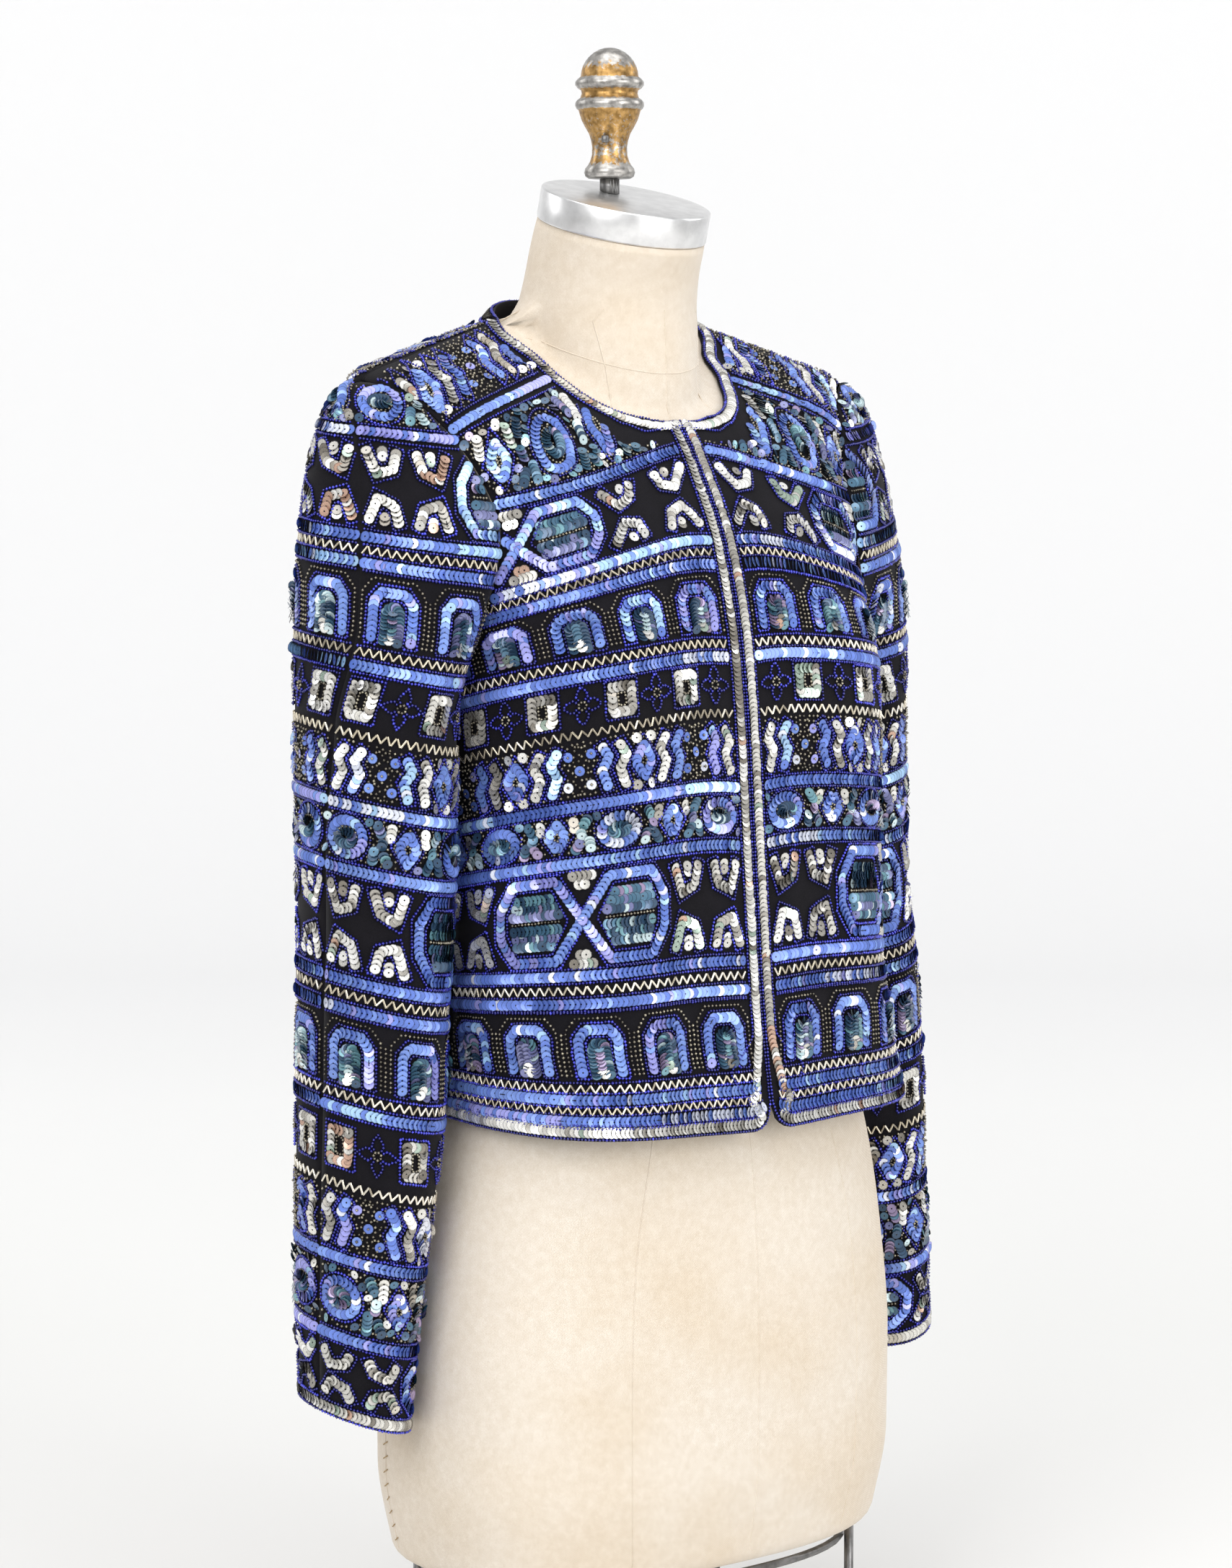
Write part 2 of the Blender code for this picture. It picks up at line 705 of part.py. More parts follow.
def make_set_screw(material, collection):
    """Square-headed screw that faces forward and right on the finial's stem."""
    stem = smooth_curve(FINIAL_PROFILE[::-1], "height", "radius")
    head = 4.2
    reach = stem(SCREW_Z - FINIAL_BASE_Z + head / 2) + SEAT + head / 2

    def make(work):
        bmesh.ops.create_cube(work, size=head * MM)

    screw = add_object("set_screw", make, material, collection)
    screw.location = (-math.sin(SCREW_TURN) * reach * MM,
                      (POST_Y - math.cos(SCREW_TURN) * reach) * MM, SCREW_Z * MM)
    screw.rotation_euler = (0, 0, -SCREW_TURN)
    add_bevel(screw, 0.4, 1)
    return screw


def foot_outline(degrees, inset):
    """Point of the torso's bottom outline, moved in, seen from above."""
    radius = section_radius(FORM, degrees, TORSO_BOTTOM_Z) - inset
    angle = math.radians(degrees)
    centre = FORM["centre"](TORSO_BOTTOM_Z)
    return radius * math.sin(angle), centre - radius * math.cos(angle)


def add_outline(curve, inset, count):
    """Closed straight-sided spline that follows the torso's bottom."""
    spline = curve.splines.new("POLY")
    spline.points.add(count - 1)
    for i in range(count):
        x, y = foot_outline(360 * (i + 0.5) / count, inset)
        spline.points[i].co = (x * MM, y * MM, 0, 1)
    spline.use_cyclic_u = True


def make_foot_hoop(material, collection):
    """Band of flat steel that stands on the floor under the rods."""
    curve = bpy.data.curves.new("foot_hoop", "CURVE")
    curve.dimensions = "2D"
    curve.fill_mode = "BOTH"
    curve.extrude = HOOP_HEIGHT * MM / 2
    add_outline(curve, ROD_INSET - HOOP_BAND / 2, 48)
    add_outline(curve, ROD_INSET + HOOP_BAND / 2, 48)
    curve.materials.append(material)
    hoop = bpy.data.objects.new("foot_hoop", curve)
    hoop.location = (0, 0, HOOP_HEIGHT * MM / 2)
    collection.objects.link(hoop)
    return hoop


def make_foot_rods(material, collection):
    """Four rods from the hoop to the torso."""
    length = TORSO_BOTTOM_Z - HOOP_HEIGHT - 2 * SEAT
    for label, degrees in (("front_left", ROD_TURN), ("front_right", -ROD_TURN),
                           ("back_left", 180 - ROD_TURN), ("back_right", ROD_TURN - 180)):
        x, y = foot_outline(degrees, ROD_INSET)
        rod = add_object("foot_rod_" + label, cylinder(ROD_RADIUS, length, 12),
                         material, collection)
        rod.location = (x * MM, y * MM, (HOOP_HEIGHT + SEAT) * MM)


def make_wire_ring(material, collection):
    """Wire ring inside the rods, a curve with a round bevel."""
    curve = bpy.data.curves.new("foot_ring", "CURVE")
    curve.dimensions = "3D"
    curve.bevel_depth = RING_RADIUS * MM
    curve.bevel_resolution = 1
    add_outline(curve, ROD_INSET + ROD_RADIUS + RING_RADIUS + 2 * SEAT, 60)
    curve.materials.append(material)
    ring = bpy.data.objects.new("foot_ring", curve)
    ring.location = (0, 0, RING_Z * MM)
    collection.objects.link(ring)
    return ring


def main():
    remove_everything()
    parts = collection_named("sequin_jacket_on_form")
    cloth = surface_material("beaded_cloth", (0.05, 0.07, 0.25), 0.45)
    linen = surface_material("linen_cover", (0.78, 0.69, 0.55), 0.85)
    aluminium = surface_material("brushed_aluminium", (0.78, 0.79, 0.80), 0.32, 1.0)
    gilt = surface_material("worn_gilt", (0.55, 0.42, 0.25), 0.40, 1.0)
    steel = surface_material("mild_steel", (0.32, 0.32, 0.33), 0.40, 1.0)
    for side, label in ((-1, "right"), (1, "left")):
        make_front("front_" + label, side, cloth, parts)
        make_sleeve_half("sleeve_%s_front" % label, side, True, cloth, parts)
        make_sleeve_half("sleeve_%s_back" % label, side, False, cloth, parts)
    make_back("back", cloth, parts)
    make_form(linen, parts)
    make_cap(aluminium, parts)
    make_post(steel, parts)
    make_finial(gilt, parts)
    make_set_screw(steel, parts)
    make_foot_hoop(steel, parts)
    make_foot_rods(steel, parts)
    make_wire_ring(steel, parts)
    frame = bpy.data.objects.new("frame", None)
    parts.objects.link(frame)
    frame.location = (0, FRAME_Y * MM, 0)
    for part in parts.objects:
        if part is not frame:
            part.parent = frame


main()
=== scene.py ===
"""Sequin jacket on its dress form: beadwork, cloth, linen, metal, light and camera.

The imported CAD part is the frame. Sizes below are millimetres until MM turns them to metres.
"""

import math
from collections import namedtuple

import bmesh
import bpy
import numpy as np
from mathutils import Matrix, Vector


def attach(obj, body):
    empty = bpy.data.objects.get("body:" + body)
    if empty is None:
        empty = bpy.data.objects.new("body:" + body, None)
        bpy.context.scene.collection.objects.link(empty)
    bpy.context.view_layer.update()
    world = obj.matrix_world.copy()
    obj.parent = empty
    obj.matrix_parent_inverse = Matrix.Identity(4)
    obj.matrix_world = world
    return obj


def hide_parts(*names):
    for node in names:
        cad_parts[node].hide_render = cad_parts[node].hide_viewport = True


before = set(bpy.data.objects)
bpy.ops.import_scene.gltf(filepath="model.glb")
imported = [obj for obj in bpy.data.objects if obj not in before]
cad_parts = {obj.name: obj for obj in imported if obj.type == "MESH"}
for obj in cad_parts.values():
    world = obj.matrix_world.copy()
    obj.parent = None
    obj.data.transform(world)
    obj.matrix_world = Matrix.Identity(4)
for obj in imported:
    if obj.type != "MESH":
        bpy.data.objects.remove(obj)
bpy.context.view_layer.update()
rng = np.random.default_rng(11)

MM = 0.001

# Sizes shared with the part
WALL = 2.0
SEAM_GAP = 0.3
FORM_CLEARANCE = 1.5
FOLD_ROOM = 3.0
NECK_ROOM = 1.2
SEAT = 0.3
HEM_Z = 362.0
UNDERARM_Z = 640.0
SHOULDER_TIP_Z = 804.0
NECK_FRONT_Z = 780.0
NECK_SIDE_Z = 842.0
NECK_BACK_Z = 854.0
FRONT_CORNER_RADIUS = 16.0
CORNER_FADE = 60.0
BAND_RISE = 12.0
ARMHOLE_BITE = 20.0
ARMHOLE_TAPER = 0.35
BACK_NECK_SHARE = 0.45
TORSO_BOTTOM_Z = 95.0
ARMPLATE_X = 156.0
BOTTOM_ROUND = 8.0
NECK_TOP_Z = 895.0
NECK_TOP_Y = 17.0
POST_Y = 28.0
FINIAL_BASE_Z = 926.0
SIDE_SEAM = 102            # degrees from centre front
WAIST_Z = 430.0            # where the form's princess seams swing in
WAIST_SWING = 7.0
WAIST_SPREAD = 90.0
SEAM_SINK = 0.1
CAP_TILT = math.radians(15.0)
FRAME_Y = 2.26

# Beadwork
SEQUIN = 6.5               # flat sequins, across
SEQUIN_PITCH = 3.1         # each covers half of the one before
SEQUIN_RISE = 0.35         # a flat one's middle above the cloth
SEQUIN_ROLL = 4.0          # spread of their roll, in degrees
BEAD = 2.15                # seed beads
BEAD_SHAKE = 0.12          # spread of their places across a string
BEAD_PITCH = 2.05
LINE_GAP = 4.2             # from a string's middle to the bead line beside it
ARCH_PITCH = 43.0
HEXAGON_CELL = 54.0
FILL_CELL = 0.6            # fineness of the search for bare ground
BUGLE_LONG = 5.4
BUGLE_WIDE = 1.5
BUGLE_PITCH = 2.9
BUGLE_LEAN = 30.0          # degrees from upright
CLOTH_INSET = 1.0          # cloth under the beadwork, inside the part's outer face
ROW_STEP = 3.0             # chart of each panel: rows up the cloth
ALONG_STEP = 2.5           # and places along each row
EDGE_TRIM = 10.4           # silver edging with its bead lines
NECK_BLEND = 8.0           # softness of the form's neck where it meets the torso
TANGENT_STEP = 0.6         # to either side, for a string's direction
HEM_MARGIN = 0.4           # strings keep clear of the first and last row of a chart
TOP_MARGIN = 0.6
SHORTEST_RUN = 9           # sequins between two turns of a string
LONGEST_RUN = 30
ON_EDGE_SHARE = 0.08       # of the runs stand steeply
TURN_SHARE = 0.4           # of the runs lean the other way
MAIN_TINT_SHARE = 0.62
SHARP_EDGE = math.radians(38)
CAMERA_TURN = math.radians(-40.0)

# Studio, in metres and degrees
SWEEP_REACH = 9.0
SWEEP_START = 3.2          # behind the form, where the floor starts to rise
SWEEP_RADIUS = 1.5
SWEEP_TOP = 6.0
PAINTED_LIGHT_DEPTH = 5.0          # behind the form, over which painted light makes the paper paler
CAMERA_VIEW = 20.75        # angle across the picture
CAMERA_AWAY = 2.6
CAMERA_HEIGHT = 0.797
CAMERA_TILT = 5.23         # down from level
AIM_LEFT = 0.014           # the picture's middle, left of the form's axis


def table(kind, *rows):
    """A short table whose columns have names."""
    return tuple(kind(*row) for row in rows)


Section = namedtuple("Section", "height half_width centre front back squareness")
# Level sections of the jacket's outer face, hem to collar bone. Front and back are
# reaches from the centre, which is a distance behind the form's axis.
JACKET_SECTIONS = table(
    Section,
    (362, 152, -4, 121, 112, 3.6), (417, 147, -2, 114, 107, 3.4), (474, 144, 0, 110, 104, 3.2),
    (560, 146, 0, 103, 106, 2.9), (640, 150, 3, 98, 110, 2.6), (704, 158, 8, 88, 110, 2.4),
    (750, 170, 16, 73, 104, 2.2), (780, 180, 22, 58, 98, 2.1), (804, 187, 28, 34, 88, 2.0),
    (820, 146, 33, 18, 77, 2.0), (832, 106, 38, 11, 66, 2.0), (842, 75, 42, 6, 56, 2.0),
    (854, 60, 43, 6, 51, 2.1))

# Level sections of the form's torso. Above the ribs the jacket's inside rules.
FORM_SECTIONS = table(
    Section,
    (95, 161, 2, 104, 106, 2.4), (154, 171, 2, 113, 114, 2.4), (215, 171, 2, 114, 114, 2.4),
    (280, 164, 1, 111, 108, 2.4), (362, 146, -4, 98, 102, 2.4), (417, 124, -2, 88, 88, 2.3),
    (474, 129, 0, 92, 90, 2.3), (560, 141, 0, 103, 103, 2.4), (620, 160, 3, 125, 118, 2.4),
    (860, 220, 30, 140, 140, 2.2))

NeckRing = namedtuple("NeckRing", "height half_width centre half_depth")
NECK_RINGS = table(
    NeckRing,
    (760, 50, 28, 52), (800, 56, 30, 56), (842, 55, 31, 55), (870, 52, 25, 53),
    (895, 50.5, 17, 50.5))

NeckMark = namedtuple("NeckMark", "angle height")
FRONT_NECKLINE = table(
    NeckMark,
    (0, NECK_FRONT_Z), (20, 781.5), (38, 786), (63, 805), (80, 825), (90, NECK_SIDE_Z))
BACK_NECKLINE = table(
    NeckMark,
    (0, NECK_SIDE_Z), (30, 850), (60, 853.5), (90, NECK_BACK_Z))

SideDrop = namedtuple("SideDrop", "height drop")
# How much lower a row of the cloth lies at the side than at the centre.
SIDE_DROPS = table(
    SideDrop,
    (362, -8), (474, 12), (600, 26), (700, 30), (780, 32), (842, 38))

Fold = namedtuple("Fold", "angle spread depth low high")
# Soft troughs (minus) and ridges (plus) in the body, as degrees round and heights.
BODY_FOLDS = table(
    Fold,
    (26, 9, -2.5, 300, 560), (43, 9, 2.5, 300, 600), (63, 8, -3.0, 380, 690),
    (77, 7, 2.0, 300, 560), (104, 8, -2.5, 320, 640), (126, 9, 2.5, 300, 600),
    (148, 9, -2.5, 300, 560), (168, 8, 1.5, 300, 640))
SLEEVE_FOLDS = table(
    Fold,
    (70, 24, -1.6, 430, 520), (20, 26, 1.3, 470, 590), (110, 22, -1.5, 560, 640),
    (300, 24, -1.6, 400, 500), (60, 26, 1.2, 300, 400), (250, 24, 1.3, 500, 620),
    (90, 24, -1.3, 240, 320))

Bust = namedtuple("Bust", "angle height spread above below rise")
BUST = Bust(47, 632, 21, 48, 115, 15)

SleeveRing = namedtuple("SleeveRing", "height reach back swing half_wide half_deep")
# The left sleeve swings back by the swing, the right one forward by it.
SLEEVE_RINGS = table(
    SleeveRing,
    (190, 205, 9, -7, 30, 36), (235, 205, 11, -3, 32, 40), (300, 202, 14, 2, 36, 45),
    (362, 199, 15, 6, 40, 49), (430, 196, 18, 8, 41, 51), (510, 194, 22, 14, 42, 53),
    (560, 194, 23, 16, 43, 54), (612, 195, 23, 18, 44, 55))
BICEP_Z = 612.0
CUFF_Z = 198.0
CUFF_SLANT = 10.0          # the cuff is this much higher outside and behind
SLANT_TURN = 40.0          # degrees behind the outer side, where it is highest
SEAM_LIFT = 0.6            # millimetres the sleeve head stands off its armhole
HEAD_FULLNESS = 0.66       # how far the sleeve head puffs out before it falls

SeamTurn = namedtuple("SeamTurn", "fall turn")
# Overarm seam, as degrees forward of the outer side, from shoulder (0) to cuff (2).
SEAM_TURNS = table(
    SeamTurn,
    (0, 0), (0.5, 28), (0.75, 32), (1.0, 18), (1.2, 9), (2.0, 8))


def smooth_curve(rows, across, value):
    """Function of one table column, a cubic that never overshoots its rows."""
    xs = np.array([getattr(row, across) for row in rows], dtype=float)
    ys = np.array([getattr(row, value) for row in rows], dtype=float)
    steps = np.diff(xs)
    slopes = np.diff(ys) / steps
    tangents = np.zeros(len(ys))
    tangents[0] = slopes[0]
    tangents[-1] = slopes[-1]
    for i in range(1, len(ys) - 1):
        if slopes[i - 1] * slopes[i] > 0:
            tangents[i] = 2 / (1 / slopes[i - 1] + 1 / slopes[i])

    def at(position):
        place = min(max(position, xs[0]), xs[-1])
        i = int(min(np.searchsorted(xs, place, side="right") - 1, len(steps) - 1))
        t = (place - xs[i]) / steps[i]
        rise = t * t * (3 - 2 * t)
        lead = t * (1 - t) ** 2 * tangents[i]
        trail = t * t * (t - 1) * tangents[i + 1]
        return float(ys[i] + (ys[i + 1] - ys[i]) * rise + (lead + trail) * steps[i])

    return at


def curves_of(rows, across="height"):
    """One smooth curve for each other column of a table."""
    names = [name for name in rows[0]._fields if name != across]
    return {name: smooth_curve(rows, across, name) for name in names}


JACKET = curves_of(JACKET_SECTIONS)
FORM = curves_of(FORM_SECTIONS)
NECK = curves_of(NECK_RINGS)
SLEEVE = curves_of(SLEEVE_RINGS)
SIDE_DROP = smooth_curve(SIDE_DROPS, "height", "drop")
NECKLINE_HEIGHT = smooth_curve(FRONT_NECKLINE, "angle", "height")
NECKLINE_ANGLE = smooth_curve(FRONT_NECKLINE, "height", "angle")
BACK_NECK_HEIGHT = smooth_curve(BACK_NECKLINE, "angle", "height")
SEAM_TURN = smooth_curve(SEAM_TURNS, "fall", "turn")


def lerp(start, end, share):
    return start + (end - start) * share


def smooth_step(share):
    share = min(max(share, 0.0), 1.0)
    return share * share * (3 - 2 * share)


def unit_rows(vectors):
    return vectors / np.maximum(np.linalg.norm(vectors, axis=-1, keepdims=True), 1e-9)


def section_radius(curves, degrees, height):
    """Distance from a section's centre to its edge; 0 degrees is the front."""
    angle = math.radians(degrees)
    across = abs(math.sin(angle)) / curves["half_width"](height)
    reach = curves["front"](height) if math.cos(angle) > 0 else curves["back"](height)
    along = abs(math.cos(angle)) / reach
    power = curves["squareness"](height)
    return (across ** power + along ** power) ** (-1 / power)


def fold_offset(folds, degrees, height):
    """Sum of the soft folds at one place."""
    total = 0.0
    for fold in folds:
        middle = (fold.low + fold.high) / 2
        half = (fold.high - fold.low) / 2
        along = (height - middle) / half
        if abs(along) < 1:
            away = (degrees - fold.angle) / fold.spread
            total += fold.depth * math.exp(-away * away) * (1 - along * along) ** 2
    return total


def jacket_radius(degrees, height):
    radius = section_radius(JACKET, degrees, height)
    over = height - BUST.height
    spread = BUST.above if over > 0 else BUST.below
    away = (abs(degrees) - BUST.angle) / BUST.spread
    bust = BUST.rise * math.exp(-away * away - (over / spread) ** 2)
    return radius + bust + fold_offset(BODY_FOLDS, abs(degrees), height)


def jacket_centre(height):
    """Middle of a section; on the shoulders it keeps the seam in one plane."""
    if height <= SHOULDER_TIP_Z:
        return JACKET["centre"](height)
    tip = JACKET["half_width"](SHOULDER_TIP_Z)
    share = (tip - JACKET["half_width"](height)) / (tip - JACKET["half_width"](NECK_SIDE_Z))
    return lerp(JACKET["centre"](SHOULDER_TIP_Z), JACKET["centre"](NECK_SIDE_Z), share)


def jacket_point(degrees, height):
    """A point of the jacket's outer face, in millimetres."""
    radius = jacket_radius(degrees, height)
    angle = math.radians(degrees)
    centre = jacket_centre(height)
    return np.array([radius * math.sin(angle), centre - radius * math.cos(angle), height])


def normal_of(surface, u, v, step_u, step_v):
    """Unit normal of a two-way surface from small steps."""
    along_u = surface(u + step_u, v) - surface(u - step_u, v)
    along_v = surface(u, v + step_v) - surface(u, v - step_v)
    return unit_rows(np.cross(along_u, along_v))


def jacket_normal(degrees, height):
    return normal_of(jacket_point, degrees, height, 0.5, 0.5)


def armhole_angle(height):
    """Front edge of the armhole, in degrees from the front, at a height."""
    middle = (SHOULDER_TIP_Z + UNDERARM_Z) / 2
    half = (SHOULDER_TIP_Z - UNDERARM_Z) / 2
    rise = min(max((height - middle) / half, -1.0), 1.0)
    return 90 - armhole_bite(rise)


def armhole_bite(rise):
    """Degrees of armhole cut away; rise runs from -1 underarm to 1 shoulder."""
    taper = 1 - ARMHOLE_TAPER * max(rise, 0.0)
    return ARMHOLE_BITE * math.sqrt(max(1 - rise * rise, 0.0)) * taper


def side_end(level):
    """Where a row that starts at this centre level ends at the side or armhole."""
    height = level - SIDE_DROP(level)
    angle = 90.0 if height <= UNDERARM_Z else armhole_angle(height)
    return angle, height


def keep_from_seams(angle, height, is_front):
    """Hold an angle half a seam gap away from centre front and side seams."""
    side = math.degrees(SEAM_GAP / 2 / JACKET["half_width"](height))
    if not is_front:
        return max(angle, 90 + side)
    centre = math.degrees(SEAM_GAP / 2 / JACKET["front"](height))
    return min(max(angle, centre), 90 - side)


def front_place(share, level):
    """Angle and height on a front, share 0 at centre front to 1 at the side."""
    start = 0.0 if level <= NECK_FRONT_Z else NECKLINE_ANGLE(level)
    end, end_height = side_end(level)
    angle = lerp(start, end, share)
    height = lerp(level, end_height, share)
    fade = smooth_step((level - HEM_Z) / 200) * (1 - smooth_step((level - 700) / 140))
    height += BAND_RISE * fade * math.sin(math.pi * share ** 0.8)
    from_edge = math.radians(angle) * JACKET["front"](height)
    if level < NECK_FRONT_Z and from_edge < FRONT_CORNER_RADIUS:
        short = FRONT_CORNER_RADIUS - from_edge
        lift = FRONT_CORNER_RADIUS - math.sqrt(FRONT_CORNER_RADIUS ** 2 - short ** 2)
        height += lift * max(0.0, 1 - (level - HEM_Z) / CORNER_FADE)
    return keep_from_seams(angle, height, True), height


def back_top(share):
    """Top edge of half the back: neckline from the centre, then the shoulder."""
    if share < BACK_NECK_SHARE:
        turned = 90 * share / BACK_NECK_SHARE
        return 180 - turned, BACK_NECK_HEIGHT(90 - turned)
    down = (share - BACK_NECK_SHARE) / (1 - BACK_NECK_SHARE)
    return 90.0, lerp(NECK_SIDE_Z, SHOULDER_TIP_Z, down)


def back_place(share, level):
    """Angle and height on half the back, share 0 at centre back to 1 at the side."""
    end, end_height = side_end(level)
    end = 180 - end
    rise = (level - HEM_Z) / (NECK_SIDE_Z - HEM_Z)
    centre_height = lerp(HEM_Z, NECK_BACK_Z, rise)
    angle = lerp(180.0, end, share)
    height = lerp(centre_height, end_height, share)
    top_angle, top_height = back_top(share)
    pull = smooth_step((level - 740) / (NECK_SIDE_Z - 740))
    angle += pull * (top_angle - lerp(180.0, 90.0, share))
    height += pull * (top_height - lerp(NECK_BACK_Z, SHOULDER_TIP_Z, share))
    return keep_from_seams(angle, height, False), height


def armhole_mark(turn):
    """Armhole point for a sleeve turn: 0 shoulder, 90 front, 180 underarm, 270 back."""
    rise = math.cos(math.radians(turn))
    middle = (SHOULDER_TIP_Z + UNDERARM_Z) / 2
    height = middle + rise * (SHOULDER_TIP_Z - UNDERARM_Z) / 2
    forward = 1 if math.sin(math.radians(turn)) >= 0 else -1
    angle = 90 - forward * armhole_bite(rise)
    return angle, height


def sleeve_leave(turn):
    """Direction in which the left sleeve's cloth leaves the armhole."""
    rise = math.cos(math.radians(turn))
    forward = math.sin(math.radians(turn))
    return unit_rows(np.array([0.55 + 0.45 * rise, -0.35 * forward, -(0.62 - 0.40 * rise)]))


def sleeve_ring_point(turn, height, swing_sign):
    """A point of a hanging sleeve's level ring."""
    angle = math.radians(turn)
    out = fold_offset(SLEEVE_FOLDS, turn % 360, height)
    x = SLEEVE["reach"](height) + (SLEEVE["half_wide"](height) + out) * math.cos(angle)
    y = SLEEVE["back"](height) + swing_sign * SLEEVE["swing"](height)
    y -= (SLEEVE["half_deep"](height) + out) * math.sin(angle)
    return np.array([x, y, height])


def sleeve_point(turn, fall, swing_sign):
    """Outer face of a sleeve on +X: fall 0 armhole, 1 bicep, 2 cuff."""
    if fall >= 1:
        height = lerp(BICEP_Z, CUFF_Z, fall - 1)
        slant = CUFF_SLANT * math.cos(math.radians(turn + SLANT_TURN))
        height += slant * smooth_step(fall - 1)
        return sleeve_ring_point(turn, height, swing_sign)
    angle, height = armhole_mark(turn)
    leave = sleeve_leave(turn)
    start = jacket_point(angle, height)
    start = start + SEAM_LIFT * (leave + jacket_normal(angle, height))
    end = sleeve_ring_point(turn, BICEP_Z, swing_sign)
    reach = np.linalg.norm(end - start)
    t = fall
    blend = t * t * (3 - 2 * t)
    lead = t * (1 - t) ** 2 * reach * leave * HEAD_FULLNESS
    trail = t * t * (t - 1) * reach * np.array([0.0, 0.0, -1.0])
    return start + (end - start) * blend + lead + trail


def torso_radius(degrees, height):
    """Form's torso: its own sections, held inside the jacket where it is worn."""
    radius = section_radius(FORM, degrees, height)
    inset = WALL + FORM_CLEARANCE
    inset += FOLD_ROOM * (1 - smooth_step((height - UNDERARM_Z) / 60))
    inset += NECK_ROOM * smooth_step((height - 800) / 30)
    if height + inset > NECK_BACK_Z:
        return 0.0
    if height > HEM_Z + 40:
        radius = min(radius, jacket_radius(degrees, height + inset) - inset)
        radius = min(radius, jacket_radius(degrees, height) - inset)
        radius = min(radius, ARMPLATE_X / max(abs(math.sin(math.radians(degrees))), 0.01))
    return max(radius, 0.0)


def neck_radius(degrees, height, centre):
    """Neck column's reach from a centre that isn't quite its own."""
    if height < NECK_RINGS[0].height:
        return 0.0
    angle = math.radians(degrees)
    shift = NECK["centre"](height) - centre
    wide = NECK["half_width"](height)
    deep = NECK["half_depth"](height)
    ray = (math.sin(angle) / wide, -math.cos(angle) / deep)
    start = -shift / deep
    squared = ray[0] ** 2 + ray[1] ** 2
    product = start * ray[1]
    return (-product + math.sqrt(product ** 2 - squared * (start ** 2 - 1))) / squared


Band = namedtuple("Band", "kind low high shift", defaults=(0.0,))
# Bands of beadwork, millimetres above the hem at centre front.
BODY_BANDS = table(
    Band,
    ("stripe", 12, 12), ("zigzag", 18.6, 18.6), ("stripe", 25.2, 25.2), ("zigzag", 32, 32),
    ("arches", 37, 71), ("stripe", 83, 83), ("zigzag", 91, 91), ("stripe", 99.5, 99.5),
    ("hexagons", 104, 161), ("stripe", 166, 166), ("ovals", 170.5, 195.5), ("stripe", 200, 200),
    ("dots", 204.5, 239), ("zigzag", 243.5, 243.5), ("squares", 248, 272.5),
    ("stripe", 277, 277), ("zigzag", 284.5, 284.5), ("arches", 289.5, 320), ("stripe", 331, 331),
    ("zigzag", 338, 338), ("stripe", 345, 345), ("hexagons", 350, 396, 18), ("stripe", 401, 401),
    ("ovals", 406, 440), ("stripe", 446, 446), ("dots", 451, 478))
# The same for the sleeves, above the cuff.
SLEEVE_BANDS = table(
    Band,
    ("hexagons", 9, 45), ("stripe", 50, 50), ("ovals", 54.5, 92), ("stripe", 96.5, 96.5),
    ("dots", 101, 135.5), ("zigzag", 140, 140), ("squares", 145, 179), ("stripe", 184, 184),
    ("zigzag", 192, 192), ("arches", 197, 231), ("stripe", 242, 242), ("zigzag", 250.5, 250.5),
    ("stripe", 258.7, 258.7), ("hexagons", 263, 318.5), ("stripe", 323, 323),
    ("ovals", 327.5, 356), ("stripe", 360.3, 360.3), ("dots", 365, 397.5), ("zigzag", 402, 402),
    ("squares", 407, 436.5), ("stripe", 441.5, 441.5), ("zigzag", 449.5, 449.5),
    ("arches", 454, 488), ("stripe", 499, 499), ("zigzag", 506.3, 506.3),
    ("stripe", 513.6, 513.6), ("hexagons", 518, 567), ("stripe", 571.5, 571.5),
    ("ovals", 576, 600))

Tint = namedtuple("Tint", "share colour")
# What each kind of sequin or bead looks like: shares of a string and sRGB colours.
TINTS = {
    # The lavender, pale cyan and near-white blue tints are painted reflections: flashes of light
    # off the film, fixed on single sequins.
    "blue": (Tint(0.44, "#6480d2"), Tint(0.27, "#7a98e2"), Tint(0.12, "#a0a2e8"),
             Tint(0.09, "#aacff3"), Tint(0.08, "#e9eefc")),
    # The pinkish lavender and pale teal tints are painted reflections: the film's iridescent
    # flashes, fixed on single sequins.
    "teal": (Tint(0.34, "#38536f"), Tint(0.26, "#4c728c"), Tint(0.12, "#76a4b0"),
             Tint(0.11, "#7c80ae"), Tint(0.07, "#a090b4"), Tint(0.10, "#d4eaee")),
    "silver": (Tint(0.42, "#dcdad3"), Tint(0.18, "#b0aca4"), Tint(0.26, "#f8f7f3"),
               Tint(0.04, "#cba893"), Tint(0.05, "#a6b8aa"), Tint(0.05, "#8b857b")),
    # The bright cobalt navy tint is a painted highlight: the sparkle off the glass, fixed on some
    # beads.
    "navy": (Tint(0.54, "#191b76"), Tint(0.30, "#26299c"), Tint(0.16, "#454ad2")),
    "pewter": (Tint(0.50, "#7c7567"), Tint(0.32, "#a09986"), Tint(0.18, "#555046")),
    "bugle": (Tint(0.50, "#c2b8a2"), Tint(0.30, "#e4ddcd"), Tint(0.20, "#8f8675")),
    "thread": (Tint(1.0, "#0b0a0f"),),
}


def linear(colour):
    """Linear red, green and blue of an sRGB hex colour."""
    values = [int(colour[i:i + 2], 16) / 255 for i in (1, 3, 5)]
    return [v / 12.92 if v <= 0.04045 else ((v + 0.055) / 1.055) ** 2.4 for v in values]


def rgba(colour):
    return (*linear(colour), 1.0)


# Charts of the cloth

def lengths_along(points):
    """Distance of each point from the first, along the polyline."""
    steps = np.linalg.norm(np.diff(points, axis=0), axis=1)
    return np.concatenate([[0.0], np.cumsum(steps)])


